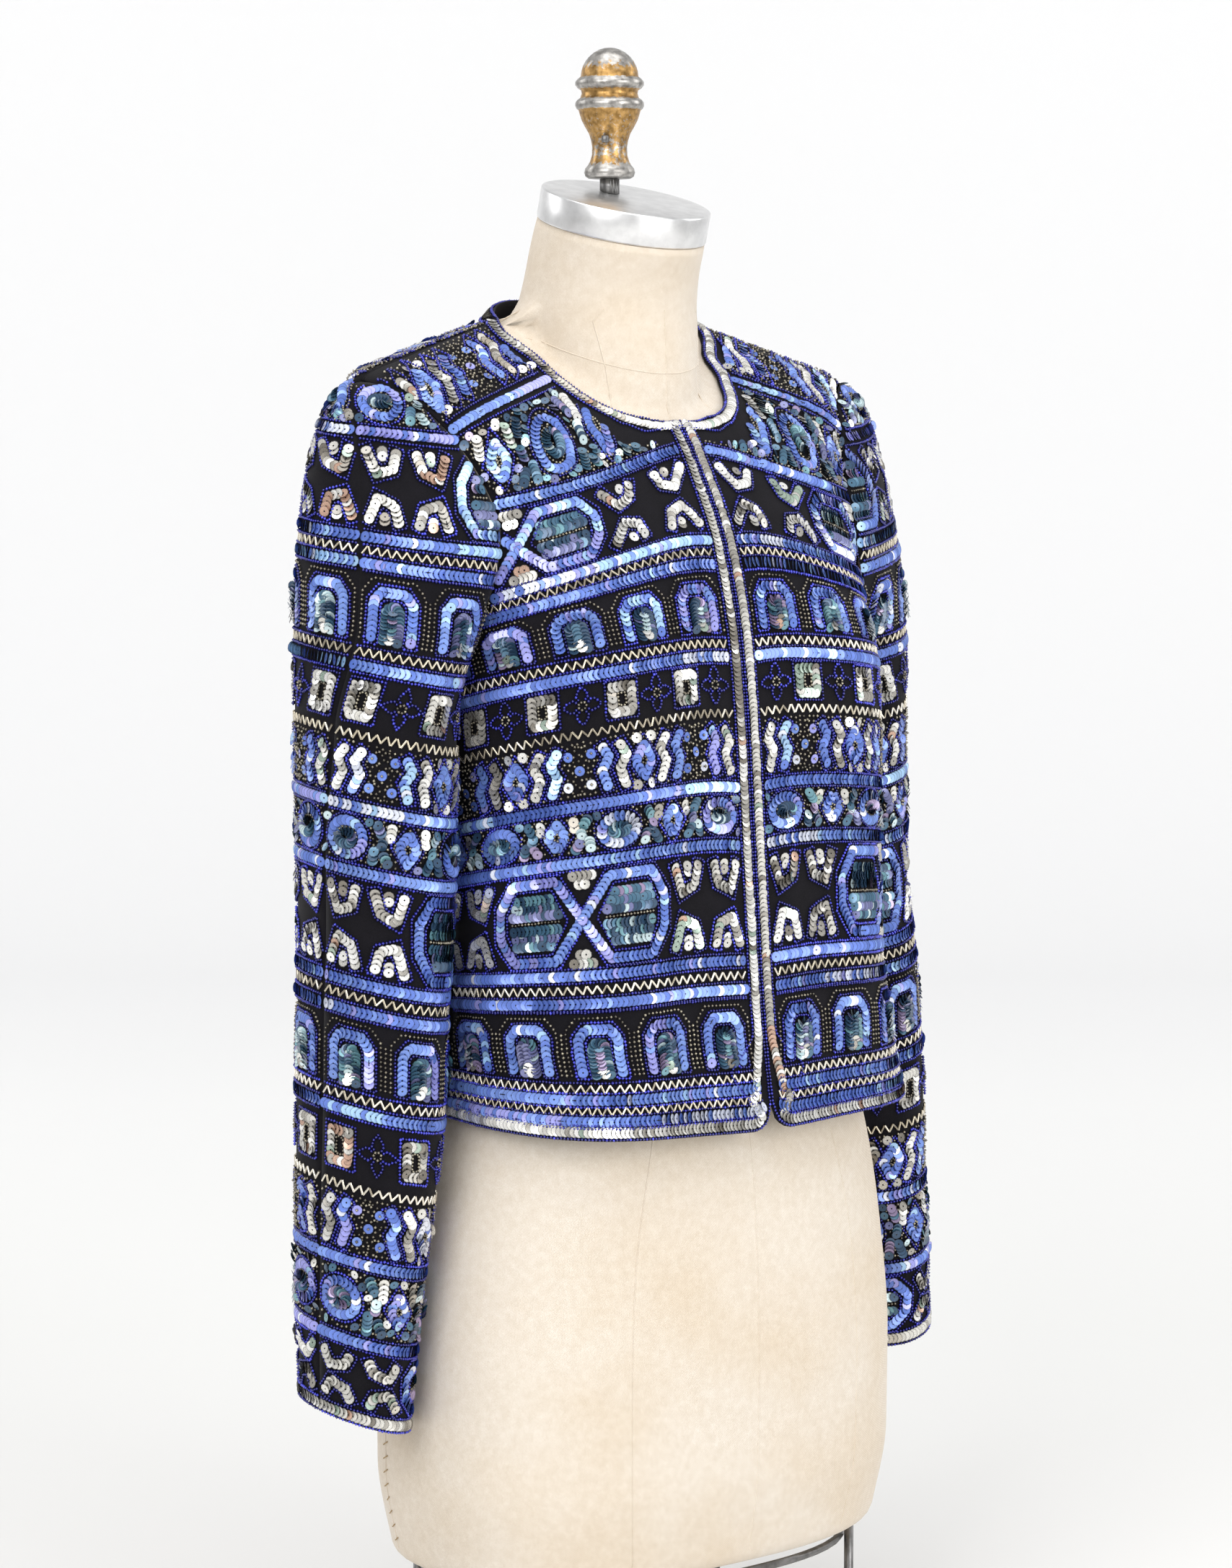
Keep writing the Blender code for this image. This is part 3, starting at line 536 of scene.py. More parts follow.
def read_row(points, start, columns):
    """A row's points at even distances; past its ends it runs straight on."""
    along = start + lengths_along(points)
    wanted = np.arange(columns) * ALONG_STEP
    row = np.column_stack([np.interp(wanted, along, points[:, k]) for k in range(3)])
    last = unit_rows(points[-1] - points[-3])
    first = unit_rows(points[0] - points[2])
    row += np.maximum(wanted - along[-1], 0)[:, None] * last
    row += np.maximum(along[0] - wanted, 0)[:, None] * first
    return row, along[-1]


def grid_normals(points):
    return unit_rows(np.cross(np.gradient(points, axis=1), np.gradient(points, axis=0)))


class Chart:
    """Points of a panel's face by distance along its rows (s) and up the cloth (h)."""

    def __init__(self, rows, starts, side, flip):
        self.side = side
        self.flip = flip
        longest = max(start + lengths_along(row)[-1] for row, start in zip(rows, starts))
        columns = int(longest / ALONG_STEP) + 4
        read = [read_row(row, start, columns) for row, start in zip(rows, starts)]
        self.points = np.array([row for row, _ in read])
        self.ends = np.array([end for _, end in read])
        self.starts = np.array(starts)
        self.heights = np.arange(len(rows)) * ROW_STEP
        self.normals = flip * grid_normals(self.points)

    def at(self, path):
        """Points and normals of (s, h) places, on the left side."""
        column = np.clip(path[:, 0] / ALONG_STEP, 0, self.points.shape[1] - 1.001)
        row = np.clip(path[:, 1] / ROW_STEP, 0, len(self.points) - 1.001)
        i = row.astype(int)
        j = column.astype(int)
        v = (row - i)[:, None]
        u = (column - j)[:, None]
        blended = []
        for grid in (self.points, self.normals):
            lower = grid[i, j] * (1 - u) + grid[i, j + 1] * u
            upper = grid[i + 1, j] * (1 - u) + grid[i + 1, j + 1] * u
            blended.append(lower * (1 - v) + upper * v)
        return blended[0], unit_rows(blended[1])

    def start(self, h):
        return np.interp(h, self.heights, self.starts)

    def end(self, h):
        return np.interp(h, self.heights, self.ends)


def dense(points, closed=False, step=1.0):
    """The polyline cut into short even steps."""
    corners = np.asarray(points, dtype=float)
    if closed:
        corners = np.vstack([corners, corners[:1]])
    along = lengths_along(corners)
    wanted = np.linspace(0, along[-1], max(int(along[-1] / step), 1) + 1)
    return np.column_stack([np.interp(wanted, along, corners[:, k]) for k in range(2)])


def front_chart():
    rows = []
    starts = []
    for level in np.arange(HEM_Z, NECK_SIDE_Z + 0.1, ROW_STEP):
        places = [front_place(share, level) for share in np.linspace(0, 1, 61)]
        rows.append(np.array([jacket_point(*place) for place in places]))
        neck = NECKLINE_ANGLE(level) if level > NECK_FRONT_Z else 0.0
        turns = np.linspace(0, neck, 9)
        arc = np.array([jacket_point(turn, level) for turn in turns])
        starts.append(lengths_along(arc)[-1])
    return rows, starts


def back_chart():
    rows = []
    for level in np.arange(HEM_Z, NECK_SIDE_Z + 0.1, ROW_STEP):
        places = [back_place(share, level) for share in np.linspace(0, 1, 61)]
        rows.append(np.array([jacket_point(*place) for place in places]))
    return rows, [0.0] * len(rows)


def sleeve_turn(share, fall, is_front):
    seam = SEAM_TURN(fall)
    return lerp(seam if is_front else 360 + seam, 180.0, share)


def sleeve_chart(is_front, swing_sign):
    """Rows run level round the sleeve, slanted as its cuff is, from the overarm seam."""
    falls = np.concatenate([np.linspace(0, 1, 30), np.linspace(1, 2, 45)[1:]])
    shares = np.linspace(0, 1, 41)
    table = np.empty((len(shares), len(falls), 3))
    lifts = np.empty(table.shape[:2])
    for a, share in enumerate(shares):
        for b, fall in enumerate(falls):
            turn = sleeve_turn(share, fall, is_front)
            table[a, b] = sleeve_point(turn, fall, swing_sign)
            slant = CUFF_SLANT * math.cos(math.radians(turn + SLANT_TURN))
            lifts[a, b] = table[a, b, 2] - slant - CUFF_Z
    rows = []
    top = lifts[:, 0]
    for h in np.arange(0, top[0] - 1, ROW_STEP):
        row = []
        for a in range(len(shares)):
            if h > top[a]:
                part = (top[a - 1] - h) / (top[a - 1] - top[a])
                row.append(lerp(table[a - 1, 0], table[a, 0], part))
                break
            falling = lifts[a, ::-1]
            row.append(np.array([np.interp(h, falling, table[a, ::-1, k]) for k in range(3)]))
        while len(row) < 3:
            row.append(row[-1] + (row[-1] - row[-2] if len(row) > 1 else np.array([0, 0.2, 0])))
        rows.append(np.array(row))
    return rows, [0.0] * len(rows)


# Stringing beads and sequins

class Work:
    """Sequins and beads gathered for one panel, then made into two meshes."""

    def __init__(self, name, chart, margin, limit=None):
        self.name = name
        self.chart = chart
        self.margin = margin
        self.limit = limit
        self.sequins = []
        self.beads = []
        self.rods = []
        self.taken = []

    def strung(self, points, pitch, closed=False, clip=True):
        """Places at an even pitch along a path: points, normals, tangents, chart places."""
        path = dense(points, closed)
        face, _ = self.chart.at(path)
        along = lengths_along(face)
        count = max(int(round(along[-1] / pitch)), 1)
        where = (np.arange(count) + 0.5) * along[-1] / count

        def read(distance):
            return np.column_stack([np.interp(distance, along, path[:, k]) for k in range(2)])

        chart_places = read(where)
        face, normal = self.chart.at(chart_places)
        ahead, _ = self.chart.at(read(where + TANGENT_STEP))
        behind, _ = self.chart.at(read(where - TANGENT_STEP))
        tangent = ahead - behind
        tangent -= normal * np.sum(tangent * normal, axis=1, keepdims=True)
        tangent = unit_rows(tangent)
        if not clip:
            return face, normal, tangent, chart_places
        keep = self.inside(chart_places)
        return face[keep], normal[keep], tangent[keep], chart_places[keep]

    def inside(self, places):
        s = places[:, 0]
        h = places[:, 1]
        margin_start, margin_end = self.margin
        keep = (s > self.chart.start(h) + margin_start) & (s < self.chart.end(h) - margin_end)
        keep &= (h > HEM_MARGIN) & (h < self.chart.heights[-1] - TOP_MARGIN)
        if self.limit is not None:
            keep &= ~self.limit(s, h)
        return keep

    def add_sequins(self, kind, points, closed=False, pitch=SEQUIN_PITCH, size=SEQUIN,
                    lift=0.0, clip=True, plain=False, tilt=15.0):
        """A string of overlapping sequins; in stretches they turn round or stand on edge."""
        face, normal, tangent, places = self.strung(points, pitch, closed, clip)
        count = len(face)
        if count == 0:
            return
        self.taken.append((places, size / 2))
        tilts = np.empty(count)
        colours = np.empty((count, 3))
        first = 0
        heading = 1.0 if rng.random() < 0.5 else -1.0
        while first < count:
            last = min(first + int(rng.integers(SHORTEST_RUN, LONGEST_RUN)), count)
            lean = rng.normal(tilt, 2.0)
            if not plain and count > 18 and rng.random() < ON_EDGE_SHARE:
                lean = rng.uniform(26, 38)
            tilts[first:last] = heading * lean
            colours[first:last] = tinted(kind, last - first)
            if not plain and first > 0:
                self.rods.append(("thread", face[first:first + 1], normal[first:first + 1],
                                  tangent[first:first + 1], 3.4, 0.5, 1.7))
                if rng.random() < TURN_SHARE:
                    heading = -heading
            first = last
        tilts += rng.normal(0, 2.0 if plain else 4.0, count)
        self.sequins.append((kind, face, normal, tangent, tilts, size, lift, colours))

    def add_beads(self, kind, points, closed=False, pitch=BEAD_PITCH, lift=0.0, clip=True):
        face, normal, tangent, places = self.strung(points, pitch, closed, clip)
        if len(face):
            self.beads.append((kind, face, normal, tangent, lift))
            self.taken.append((places, BEAD / 2))

    def free_places(self, band, gap, spacing):
        """Random bare places in a band, a gap from what is sewn and spaced apart."""
        chart = self.chart
        rows = slice(int(band.low / ROW_STEP), int(band.high / ROW_STEP) + 2)
        climb = np.linalg.norm(np.diff(chart.points[rows], axis=0), axis=2).mean() / ROW_STEP
        cells = np.array([FILL_CELL, FILL_CELL / climb])
        corner = np.array([0.0, band.low])
        size = ((chart.ends.max(), band.high - band.low) / cells).astype(int) + 1
        full = np.zeros(size, dtype=bool)

        def cover(places, radius):
            reach = int(radius / FILL_CELL)
            steps = np.arange(-reach, reach + 1)
            disc = np.stack(np.meshgrid(steps, steps), -1).reshape(-1, 2)
            disc = disc[(disc ** 2).sum(axis=1) <= (radius / FILL_CELL) ** 2]
            spots = (((places - corner) / cells).astype(int)[:, None] + disc).reshape(-1, 2)
            spots = spots[((spots >= 0) & (spots < size)).all(axis=1)]
            full[spots[:, 0], spots[:, 1]] = True

        for radius in {radius for _, radius in self.taken}:
            places = np.concatenate([group for group, size_of in self.taken if size_of == radius])
            near = (places[:, 1] > band.low - 8) & (places[:, 1] < band.high + 8)
            if near.any():
                cover(places[near], radius + gap)
        chosen = []
        for spot in rng.permutation(np.argwhere(~full)):
            if not full[spot[0], spot[1]]:
                place = corner + (spot + 0.5) * cells
                cover(place[None, :], spacing)
                chosen.append(place)
        return np.array(chosen).reshape(-1, 2)

    def add_zigzag(self, h, low, high):
        """Bugle beads leaning to and fro between two lines of seed beads."""
        face, normal, tangent, _ = self.strung([(low, h), (high, h)], BUGLE_PITCH)
        across = np.cross(normal, tangent)
        lean = np.radians(BUGLE_LEAN + rng.normal(0, 4, len(face)))
        swap = np.where(np.arange(len(face)) % 2, 1.0, -1.0)
        way = across * np.cos(lean)[:, None] + tangent * (np.sin(lean) * swap)[:, None]
        if len(face):
            self.rods.append(("bugle", face, normal, way, BUGLE_LONG, BUGLE_WIDE, 0.0))


def tinted(kind, count):
    """Linear colours of a run: mostly one tint, with some strays."""
    tints = TINTS[kind]
    shares = np.array([tint.share for tint in tints])
    main = rng.choice(len(tints), p=shares / shares.sum())
    chosen = rng.choice(len(tints), size=count, p=shares / shares.sum())
    chosen = np.where(rng.random(count) < MAIN_TINT_SHARE, main, chosen)
    table = np.array([linear(tint.colour) for tint in tints])
    return table[chosen] * rng.uniform(0.86, 1.12, (count, 1))


def shifted(points, s, h, flip=1, turn=1):
    return [(s + flip * x, h + turn * y) for x, y in points]


def ellipse(a, b, count=24):
    return [(a * math.cos(2 * math.pi * i / count), b * math.sin(2 * math.pi * i / count))
            for i in range(count)]


def rectangle(a, b):
    return [(-a, -b), (-a, b), (a, b), (a, -b)]


def arch_line(half, top, base=0.0, corner=4.5):
    return [(-half, base), (-half, top - corner * 1.3), (-half + corner, top),
            (half - corner, top), (half, top - corner * 1.3), (half, base)]


def sideways(points, gap, closed=False):
    """The polyline moved to its left by a gap, with mitred corners."""
    line = np.asarray(points, dtype=float)
    if closed:
        before = np.roll(line, 1, axis=0)
        after = np.roll(line, -1, axis=0)
    else:
        before = np.vstack([2 * line[0] - line[1], line[:-1]])
        after = np.vstack([line[1:], 2 * line[-1] - line[-2]])
    arriving = unit_rows(line - before)[:, ::-1] * [-1, 1]
    leaving = unit_rows(after - line)[:, ::-1] * [-1, 1]
    mitre = unit_rows(arriving + leaving)
    reach = np.maximum(np.sum(mitre * arriving, axis=1, keepdims=True), 0.6)
    return line + mitre * gap / reach


def stretched(points, extra):
    """The polyline made longer at both ends."""
    line = np.asarray(points, dtype=float)
    line[0] += extra * unit_rows(line[:1] - line[1:2])[0]
    line[-1] += extra * unit_rows(line[-1:] - line[-2:-1])[0]
    return line


def outlined(work, kind, points, closed=False, gap=LINE_GAP, inside=True, **ways):
    """A string of sequins with a line of navy beads close along its sides."""
    work.add_sequins(kind, points, closed=closed, **ways)
    if not closed:
        run = stretched(points, 2.4)
        ring = np.vstack([sideways(run, gap), sideways(run, -gap)[::-1]])
        work.add_beads("navy", ring, closed=True)
        return
    rings = [sideways(points, side, True) for side in (gap, -gap)]
    rings.sort(key=lambda ring: lengths_along(ring)[-1])
    for ring in rings if inside else rings[1:]:
        work.add_beads("navy", ring, closed=True)


def scatter(work, kind, places, s, h, flip=1):
    """Loose beads sewn down singly."""
    for x, y in places:
        spot = [(x - 0.4, y - 0.4), (x + 0.4, y + 0.4)]
        work.add_beads(kind, shifted(spot, s, h, flip), pitch=2.0)


# Motifs

def put_arch(work, s, h, tall):
    """Round-cornered arch filled with standing teal sequins."""
    def at(points):
        return shifted(points, s, h)
    outlined(work, "blue", at(arch_line(11.6, tall - 4.3, 2.6)))
    work.add_beads("pewter", at(arch_line(18.6, tall + 2.6, 1.0, 6.0)), pitch=2.7)
    work.add_beads("pewter", at([(21.4, 1.0), (21.4, tall - 6)]), pitch=2.7)
    work.add_sequins("teal", at(arch_line(3.9, tall - 12.2, 1.5, 2.2)), pitch=2.1, tilt=34)
    work.add_sequins("teal", at([(0, tall - 14), (0, 7)]), pitch=2.3, tilt=30, lift=0.8)
    work.add_sequins("silver", at([(-1.6, 2.0), (1.4, 7.5)]), lift=1.6, plain=True)
    scatter(work, "pewter", [(-3.4, 2.0), (4.0, 2.6), (0.4, 10.6)], s, h)


def put_square(work, s, h, half_wide, half_tall):
    border = rectangle(half_wide - 4.2, half_tall - 4.2)
    outlined(work, "silver", shifted(border, s, h), closed=True, inside=False)
    core = rectangle(max(half_wide - 8.0, 1.3), max(half_tall - 8.0, 2.2))
    work.add_beads("pewter", shifted(core, s, h), closed=True, pitch=2.1)


def put_flower(work, s, h, reach):
    """Four pointed petals of seed beads round a ring."""
    petal = [(2.8, 1.6), (5.6, 3.7), (8.4, 2.6), (reach, 0.0), (8.4, -2.6), (5.6, -3.7),
             (2.8, -1.6)]
    for quarter in range(4):
        turn = math.radians(90 * quarter)
        turned = [(x * math.cos(turn) - y * math.sin(turn),
                   x * math.sin(turn) + y * math.cos(turn)) for x, y in petal]
        work.add_beads("navy", shifted(turned, s, h))
    work.add_beads("pewter", shifted(ellipse(2.4, 2.4, 10), s, h), closed=True, lift=0.4)


def put_oval(work, s, h, a, b):
    def at(points):
        return shifted(points, s, h)
    outlined(work, "blue", at(ellipse(a - 4.3, b - 4.2)), closed=True, inside=False)
    work.add_beads("pewter", at(ellipse(max(a - 8.2, 2), max(b - 8.0, 2))), closed=True,
                   pitch=2.4)
    work.add_sequins("teal", at(ellipse(max(a - 10.2, 1.8), max(b - 10.2, 1.3))), closed=True,
                     pitch=2.0, tilt=36, lift=0.6, plain=True)


def put_diamond(work, s, h, a, b):
    rhombus = shifted([(-a, 0), (0, b), (a, 0), (0, -b)], s, h)
    outlined(work, "blue", rhombus, closed=True, inside=False)
    work.add_beads("pewter", shifted(ellipse(1.5, 2.3, 8), s, h), closed=True, lift=0.5)


def put_cluster(work, s, h, reach, flip):
    """Short slanting strings of teal and silver with loose beads between."""
    def at(points):
        return shifted(points, s, h, flip)
    ways = {"pitch": 2.4, "tilt": 26, "plain": True}
    work.add_sequins("teal", at([(-4.0, reach), (-0.5, 0.45 * reach)]), **ways)
    work.add_sequins("teal", at([(4.0, -reach), (0.5, -0.45 * reach)]), **ways)
    work.add_sequins("teal", at([(-5.5, -reach), (-4.5, -0.3 * reach)]), **ways)
    work.add_sequins("teal", at([(0.5, 0.2 * reach), (-0.5, -0.2 * reach)]), **ways)
    work.add_sequins("silver", at([(5.0, reach), (4.2, 0.25 * reach)]), plain=True)
    scatter(work, "pewter", [(-0.8, reach - 0.6), (1.6, 0.62 * reach), (-3.0, 0.12 * reach),
                             (3.4, -0.2 * reach), (-1.4, -0.62 * reach), (0.4, 0.6 - reach),
                             (7.4, 1.0), (7.8, -2.4), (-7.2, 2.6), (-7.4, -0.6)], s, h, flip)


def put_dots(work, s, h, half_wide, half_tall):
    """Single sequins held by a bead, with beads scattered between them."""
    spots = [(0, 0), (-0.62, 0.58), (0.62, 0.58), (-0.62, -0.58), (0.62, -0.58)]
    for x, y in spots:
        middle = (x * half_wide, y * half_tall)
        spot = shifted([(middle[0] - 0.3, middle[1]), (middle[0] + 0.3, middle[1])], s, h)
        work.add_sequins("blue", spot, pitch=2, plain=True, tilt=4, lift=0.2, size=6.2)
        work.add_beads("pewter", spot, pitch=2, lift=0.9)
    places = [(x * half_wide, y * half_tall)
              for x, y in ((0.34, 0.36), (-0.34, 0.36), (0.34, -0.36), (-0.34, -0.36), (0, 0.62),
                           (0, -0.62), (0.62, 0.08), (-0.62, -0.08), (0.24, 0.92), (-0.28, 0.9),
                           (0.28, -0.92), (-0.24, -0.9), (0.95, 0.2), (-0.95, -0.2),
                           (0.95, -0.3), (-0.95, 0.3), (0.05, 0.9), (-0.05, -0.88))]
    scatter(work, "pewter", places, s, h)


def put_bend(work, kind, s, h, half_tall, flip):
    """Zigzag string of sequins beside a field of dots."""
    line = [(2.2, half_tall), (-2.4, 0.42 * half_tall), (2.0, -0.14 * half_tall),
            (-2.0, -half_tall)]
    outlined(work, kind, shifted(line, s, h, flip))


def put_hexagon_pair(work, s, h, half):
    """Two hexagons whose outlines cross between them, rows of teal sequins inside."""
    line = half - 4.6
    figure = [(-16, line), (16, -line), (43, -line), (52, -0.36 * line), (52, 0.36 * line),
              (43, line), (16, line), (-16, -line), (-43, -line), (-52, -0.36 * line),
              (-52, 0.36 * line), (-43, line)]
    work.add_sequins("blue", shifted(figure, s, h), closed=True)
    for flip in (1, -1):
        def at(points):
            return shifted(points, s, h, flip)
        edge = [(14, half - 0.4), (45.2, half - 0.4), (56.4, 0.42 * half), (56.4, -0.42 * half),
                (45.2, 0.4 - half), (14, 0.4 - half)]
        work.add_beads("navy", at(edge))
        inside = [(8.8, 0), (18.8, line - 4.3), (41, line - 4.3), (47.6, 0.26 * line),
                  (47.6, -0.26 * line), (41, 4.3 - line), (18.8, 4.3 - line)]
        work.add_beads("navy", at(inside), closed=True)
        work.add_beads("pewter", at([(13, 0), (45, 0)]), pitch=2.1)
        rows = [y for y in (4.4, 9.2, 14.0, 18.8) if y < line - 5.4]
        for y in rows:
            from_x = 11.0 + 0.48 * y
            to_x = 45.6 - 0.26 * y
            for up in (y, -y):
                work.add_sequins("teal", at([(from_x, up), (to_x, up)]), pitch=2.6)
    for turn in (1, -1):
        notch = [(-14, half), (0, 5.4), (14, half)]
        work.add_beads("navy", shifted(notch, s, h, 1, turn))
        for y, reach in ((half - 2.6, 7.0), (half - 7.8, 3.4)):
            work.add_sequins("silver", shifted([(-reach, y), (reach, y)], s, h, 1, turn),
                             plain=True)


def put_nested_bends(work, s, h, half, half_wide):
    """Four bent strings of silver, each round a short one, about a black bow-tie shape."""
    outer = half_wide - 3.2
    middle = half_wide / 2 + 0.4
    for flip in (1, -1):
        for turn in (1, -1):
            def at(points):
                return shifted(points, s, h, flip, turn)
            bend = [(middle - 8.2, half - 4.6), (middle - 5.0, 0.40 * half),
                    (middle + 4.4, 0.26 * half), (outer, half - 4.6)]
            outlined(work, "silver", at(bend))
            short = half - 4.6 - 0.62 * half
            if short > 2.5:
                work.add_sequins("silver", at([(middle + 0.2, half - 4.2),
                                               (middle + 0.2, 0.62 * half)]), plain=True)


# Bands of motifs, each filled from one end of the panel to the other

def middle_of(band):
    """A band's middle line and half its height."""
    return (band.low + band.high) / 2, (band.high - band.low) / 2


def fill_stripe(work, band, low, high):
    h = band.low
    work.add_sequins("blue", [(low, h), (high, h)])
    for side in (-LINE_GAP, LINE_GAP):
        work.add_beads("navy", [(low, h + side), (high, h + side)])


def fill_zigzag(work, band, low, high):
    work.add_zigzag(band.low, low, high)


def fill_arches(work, band, low, high):
    tall = band.high - band.low
    for line in (band.low - 1.2, band.high + 7.0):
        work.add_beads("navy", [(low, line), (high, line)])
    s = low + ARCH_PITCH / 2 - 2
    while s < high + 12:
        put_arch(work, s, band.low + 1.0, tall)
        s += ARCH_PITCH


def fill_squares(work, band, low, high):
    middle, half = middle_of(band)
    s = low + 13
    square = work.name.startswith("sleeve")
    while s < high + 8:
        if square:
            put_square(work, s, middle, 10.4, min(half - 0.6, 13.0))
        else:
            put_flower(work, s, middle, min(half - 0.6, 12.4))
        square = not square
        s += 24.0


def fill_ovals(work, band, low, high):
    middle, half = middle_of(band)
    s = low + 15
    while s < high + 12:
        put_oval(work, s, middle, 14.8, min(half - 0.2, 14.0))
        put_cluster(work, s + 22, middle, half - 2.6, 1)
        put_diamond(work, s + 37, middle, 5.4, min(half - 4.8, 8.8))
        put_cluster(work, s + 52, middle, half - 2.6, -1)
        s += 74


def fill_dots(work, band, low, high):
    middle, half = middle_of(band)
    s = low + 6
    while s < high + 40:
        put_bend(work, "silver", s, middle, half - 4, 1)
        put_bend(work, "blue", s + 11, middle, half - 4, 1)
        put_dots(work, s + 26, middle, 11, half - 1.2)
        put_bend(work, "blue", s + 41, middle, half - 4, -1)
        put_bend(work, "silver", s + 52, middle, half - 4, -1)
        put_diamond(work, s + 66, middle, 5.8, min(half - 5.4, 9.6))
        for up in (1, -1):
            edge = up * (half - 3.0)
            for aside in (-6.6, 6.6):
                place = [(s + 66 + aside, middle + edge),
                         (s + 66 + aside * 0.45, middle + edge * 0.98)]
                work.add_sequins("silver", place, plain=True)
        s += 80


def fill_hexagons(work, band, low, high):
    middle, half = middle_of(band)
    cell = HEXAGON_CELL + band.shift
    s = low
    while s < high:
        put_nested_bends(work, s + cell / 2, middle, half, cell / 2)
        put_hexagon_pair(work, s + cell + 57, middle, half)
        s += cell + 114
        cell = HEXAGON_CELL


def fill_bare_ground(work, band):
    """Loose teal sequins and beads crowd the ground between the larger motifs."""
    if band.kind == "ovals":
        spots = work.free_places(band, 1.7, 5.0)
        for spot in spots:
            turn = rng.uniform(0, math.pi)
            aside = np.array([math.cos(turn), math.sin(turn)]) * 1.5
            kind = "teal" if rng.random() < 0.8 else "silver"
            work.add_sequins(kind, [spot - aside, spot + aside], pitch=2.6, size=5.6, plain=True,
                             tilt=24)
    for spot in work.free_places(band, 0.35, 2.9):
        work.add_beads("pewter", [spot - [0.5, 0], spot + [0.5, 0]], pitch=2.0)


FILLS = {"stripe": fill_stripe, "zigzag": fill_zigzag, "arches": fill_arches,
         "squares": fill_squares, "ovals": fill_ovals, "dots": fill_dots,
         "hexagons": fill_hexagons}


def trim_along(work, path):
    """Silver sequins between two bead lines, in from an edge given in chart places."""
    for inset, kind in ((0.9, "navy"), (4.9, "silver"), (8.9, "navy")):
        moved = moved_in(work.chart, dense(path, step=2.0), inset)
        if kind == "silver":
            work.add_sequins(kind, moved, clip=False, pitch=2.7, plain=True)
        else:
            work.add_beads(kind, moved, clip=False)


def moved_in(chart, path, inset):
    """Path moved sideways by a true distance, to its left on the chart."""
    face, normal = chart.at(path)
    tangent = unit_rows(np.gradient(face, axis=0))
    inward = chart.flip * np.cross(normal, tangent)
    inner = np.maximum(path, [1.5, 1.5])
    inner[:, 1] = np.minimum(inner[:, 1], chart.heights[-1] - 1.5)
    along = (chart.at(inner + [1, 0])[0] - chart.at(inner - [1, 0])[0]) / 2
    up = (chart.at(inner + [0, 1])[0] - chart.at(inner - [0, 1])[0]) / 2
    aa = np.sum(along * along, axis=1)
    au = np.sum(along * up, axis=1)
    uu = np.sum(up * up, axis=1)
    ai = np.sum(along * inward, axis=1)
    ui = np.sum(up * inward, axis=1)
    det = np.maximum(aa * uu - au * au, 1e-6)
    ds = (uu * ai - au * ui) / det
    dh = (aa * ui - au * ai) / det
    return path + inset * np.column_stack([ds, dh])


# Turning the gathered places into meshes

def mesh_object(name, verts, faces, materials, indices=None, colours=None, smooth=True):
    """Mesh object from arrays of metres and faces of one size."""
    mesh = bpy.data.meshes.new(name)
    corners = faces.shape[1]
    mesh.vertices.add(len(verts))
    mesh.vertices.foreach_set("co", np.ascontiguousarray(verts, dtype=np.float32).ravel())
    mesh.loops.add(faces.size)
    mesh.loops.foreach_set("vertex_index", faces.ravel().astype(np.int32))
    mesh.polygons.add(len(faces))
    mesh.polygons.foreach_set("loop_start", np.arange(0, faces.size, corners, dtype=np.int32))
    if indices is not None:
        mesh.polygons.foreach_set("material_index", indices.astype(np.int32))
    mesh.polygons.foreach_set("use_smooth", np.full(len(faces), smooth))
    mesh.update(calc_edges=True)
    if colours is not None:
        layer = mesh.color_attributes.new("tint", "FLOAT_COLOR", "POINT")
        layer.data.foreach_set("color", np.ascontiguousarray(colours, dtype=np.float32).ravel())
    for material in materials:
        mesh.materials.append(material)
    made = bpy.data.objects.new(name, mesh)
    bpy.context.scene.collection.objects.link(made)
    return made


def to_metres(points, side):
    """Millimetres on the left side to metres in the row's frame."""
    moved = points * np.array([side, 1.0, 1.0]) + np.array([0.0, FRAME_Y, 0.0])
    return moved * MM


def copies(template, faces, centres, axes, tints, rims):
    """Joined copies of one small mesh: verts, faces and colours."""
    count = len(centres)
    across, along, out = axes
    verts = (centres[:, None, :] + template[None, :, 0:1] * across[:, None, :]
             + template[None, :, 1:2] * along[:, None, :]
             + template[None, :, 2:3] * out[:, None, :])
    offsets = np.arange(count)[:, None, None] * len(template)
    joined = (faces[None, :, :] + offsets).reshape(-1, faces.shape[1])
    colours = np.empty((count, len(template), 4))
    colours[:, :, :3] = tints[:, None, :]
    colours[:, :, 3] = rims[None, :]
    return verts.reshape(-1, 3), joined, colours.reshape(-1, 4)


def disc_template(sides=10):
    """Slightly cupped disc of radius 1: its middle is first, then the rim."""
    turns = 2 * np.pi * np.arange(sides) / sides
    rim = np.column_stack([np.cos(turns), np.sin(turns), np.full(sides, 0.05)])
    template = np.vstack([[0.0, 0.0, -0.02], rim])
    ring = np.arange(sides)
    faces = np.column_stack([np.zeros(sides, int), 1 + ring, 1 + (ring + 1) % sides])
    return template, faces, np.concatenate([[0.0], np.ones(sides)])


def bead_template():
    """Eight-sided grain of radius 1."""
    template = np.array([[1, 0, 0], [-1, 0, 0], [0, 1, 0], [0, -1, 0], [0, 0, 1], [0, 0, -1]],
                        dtype=float)
    faces = np.array([[0, 2, 4], [2, 1, 4], [1, 3, 4], [3, 0, 4],
                      [2, 0, 5], [1, 2, 5], [3, 1, 5], [0, 3, 5]])
    return template, faces, np.ones(6)


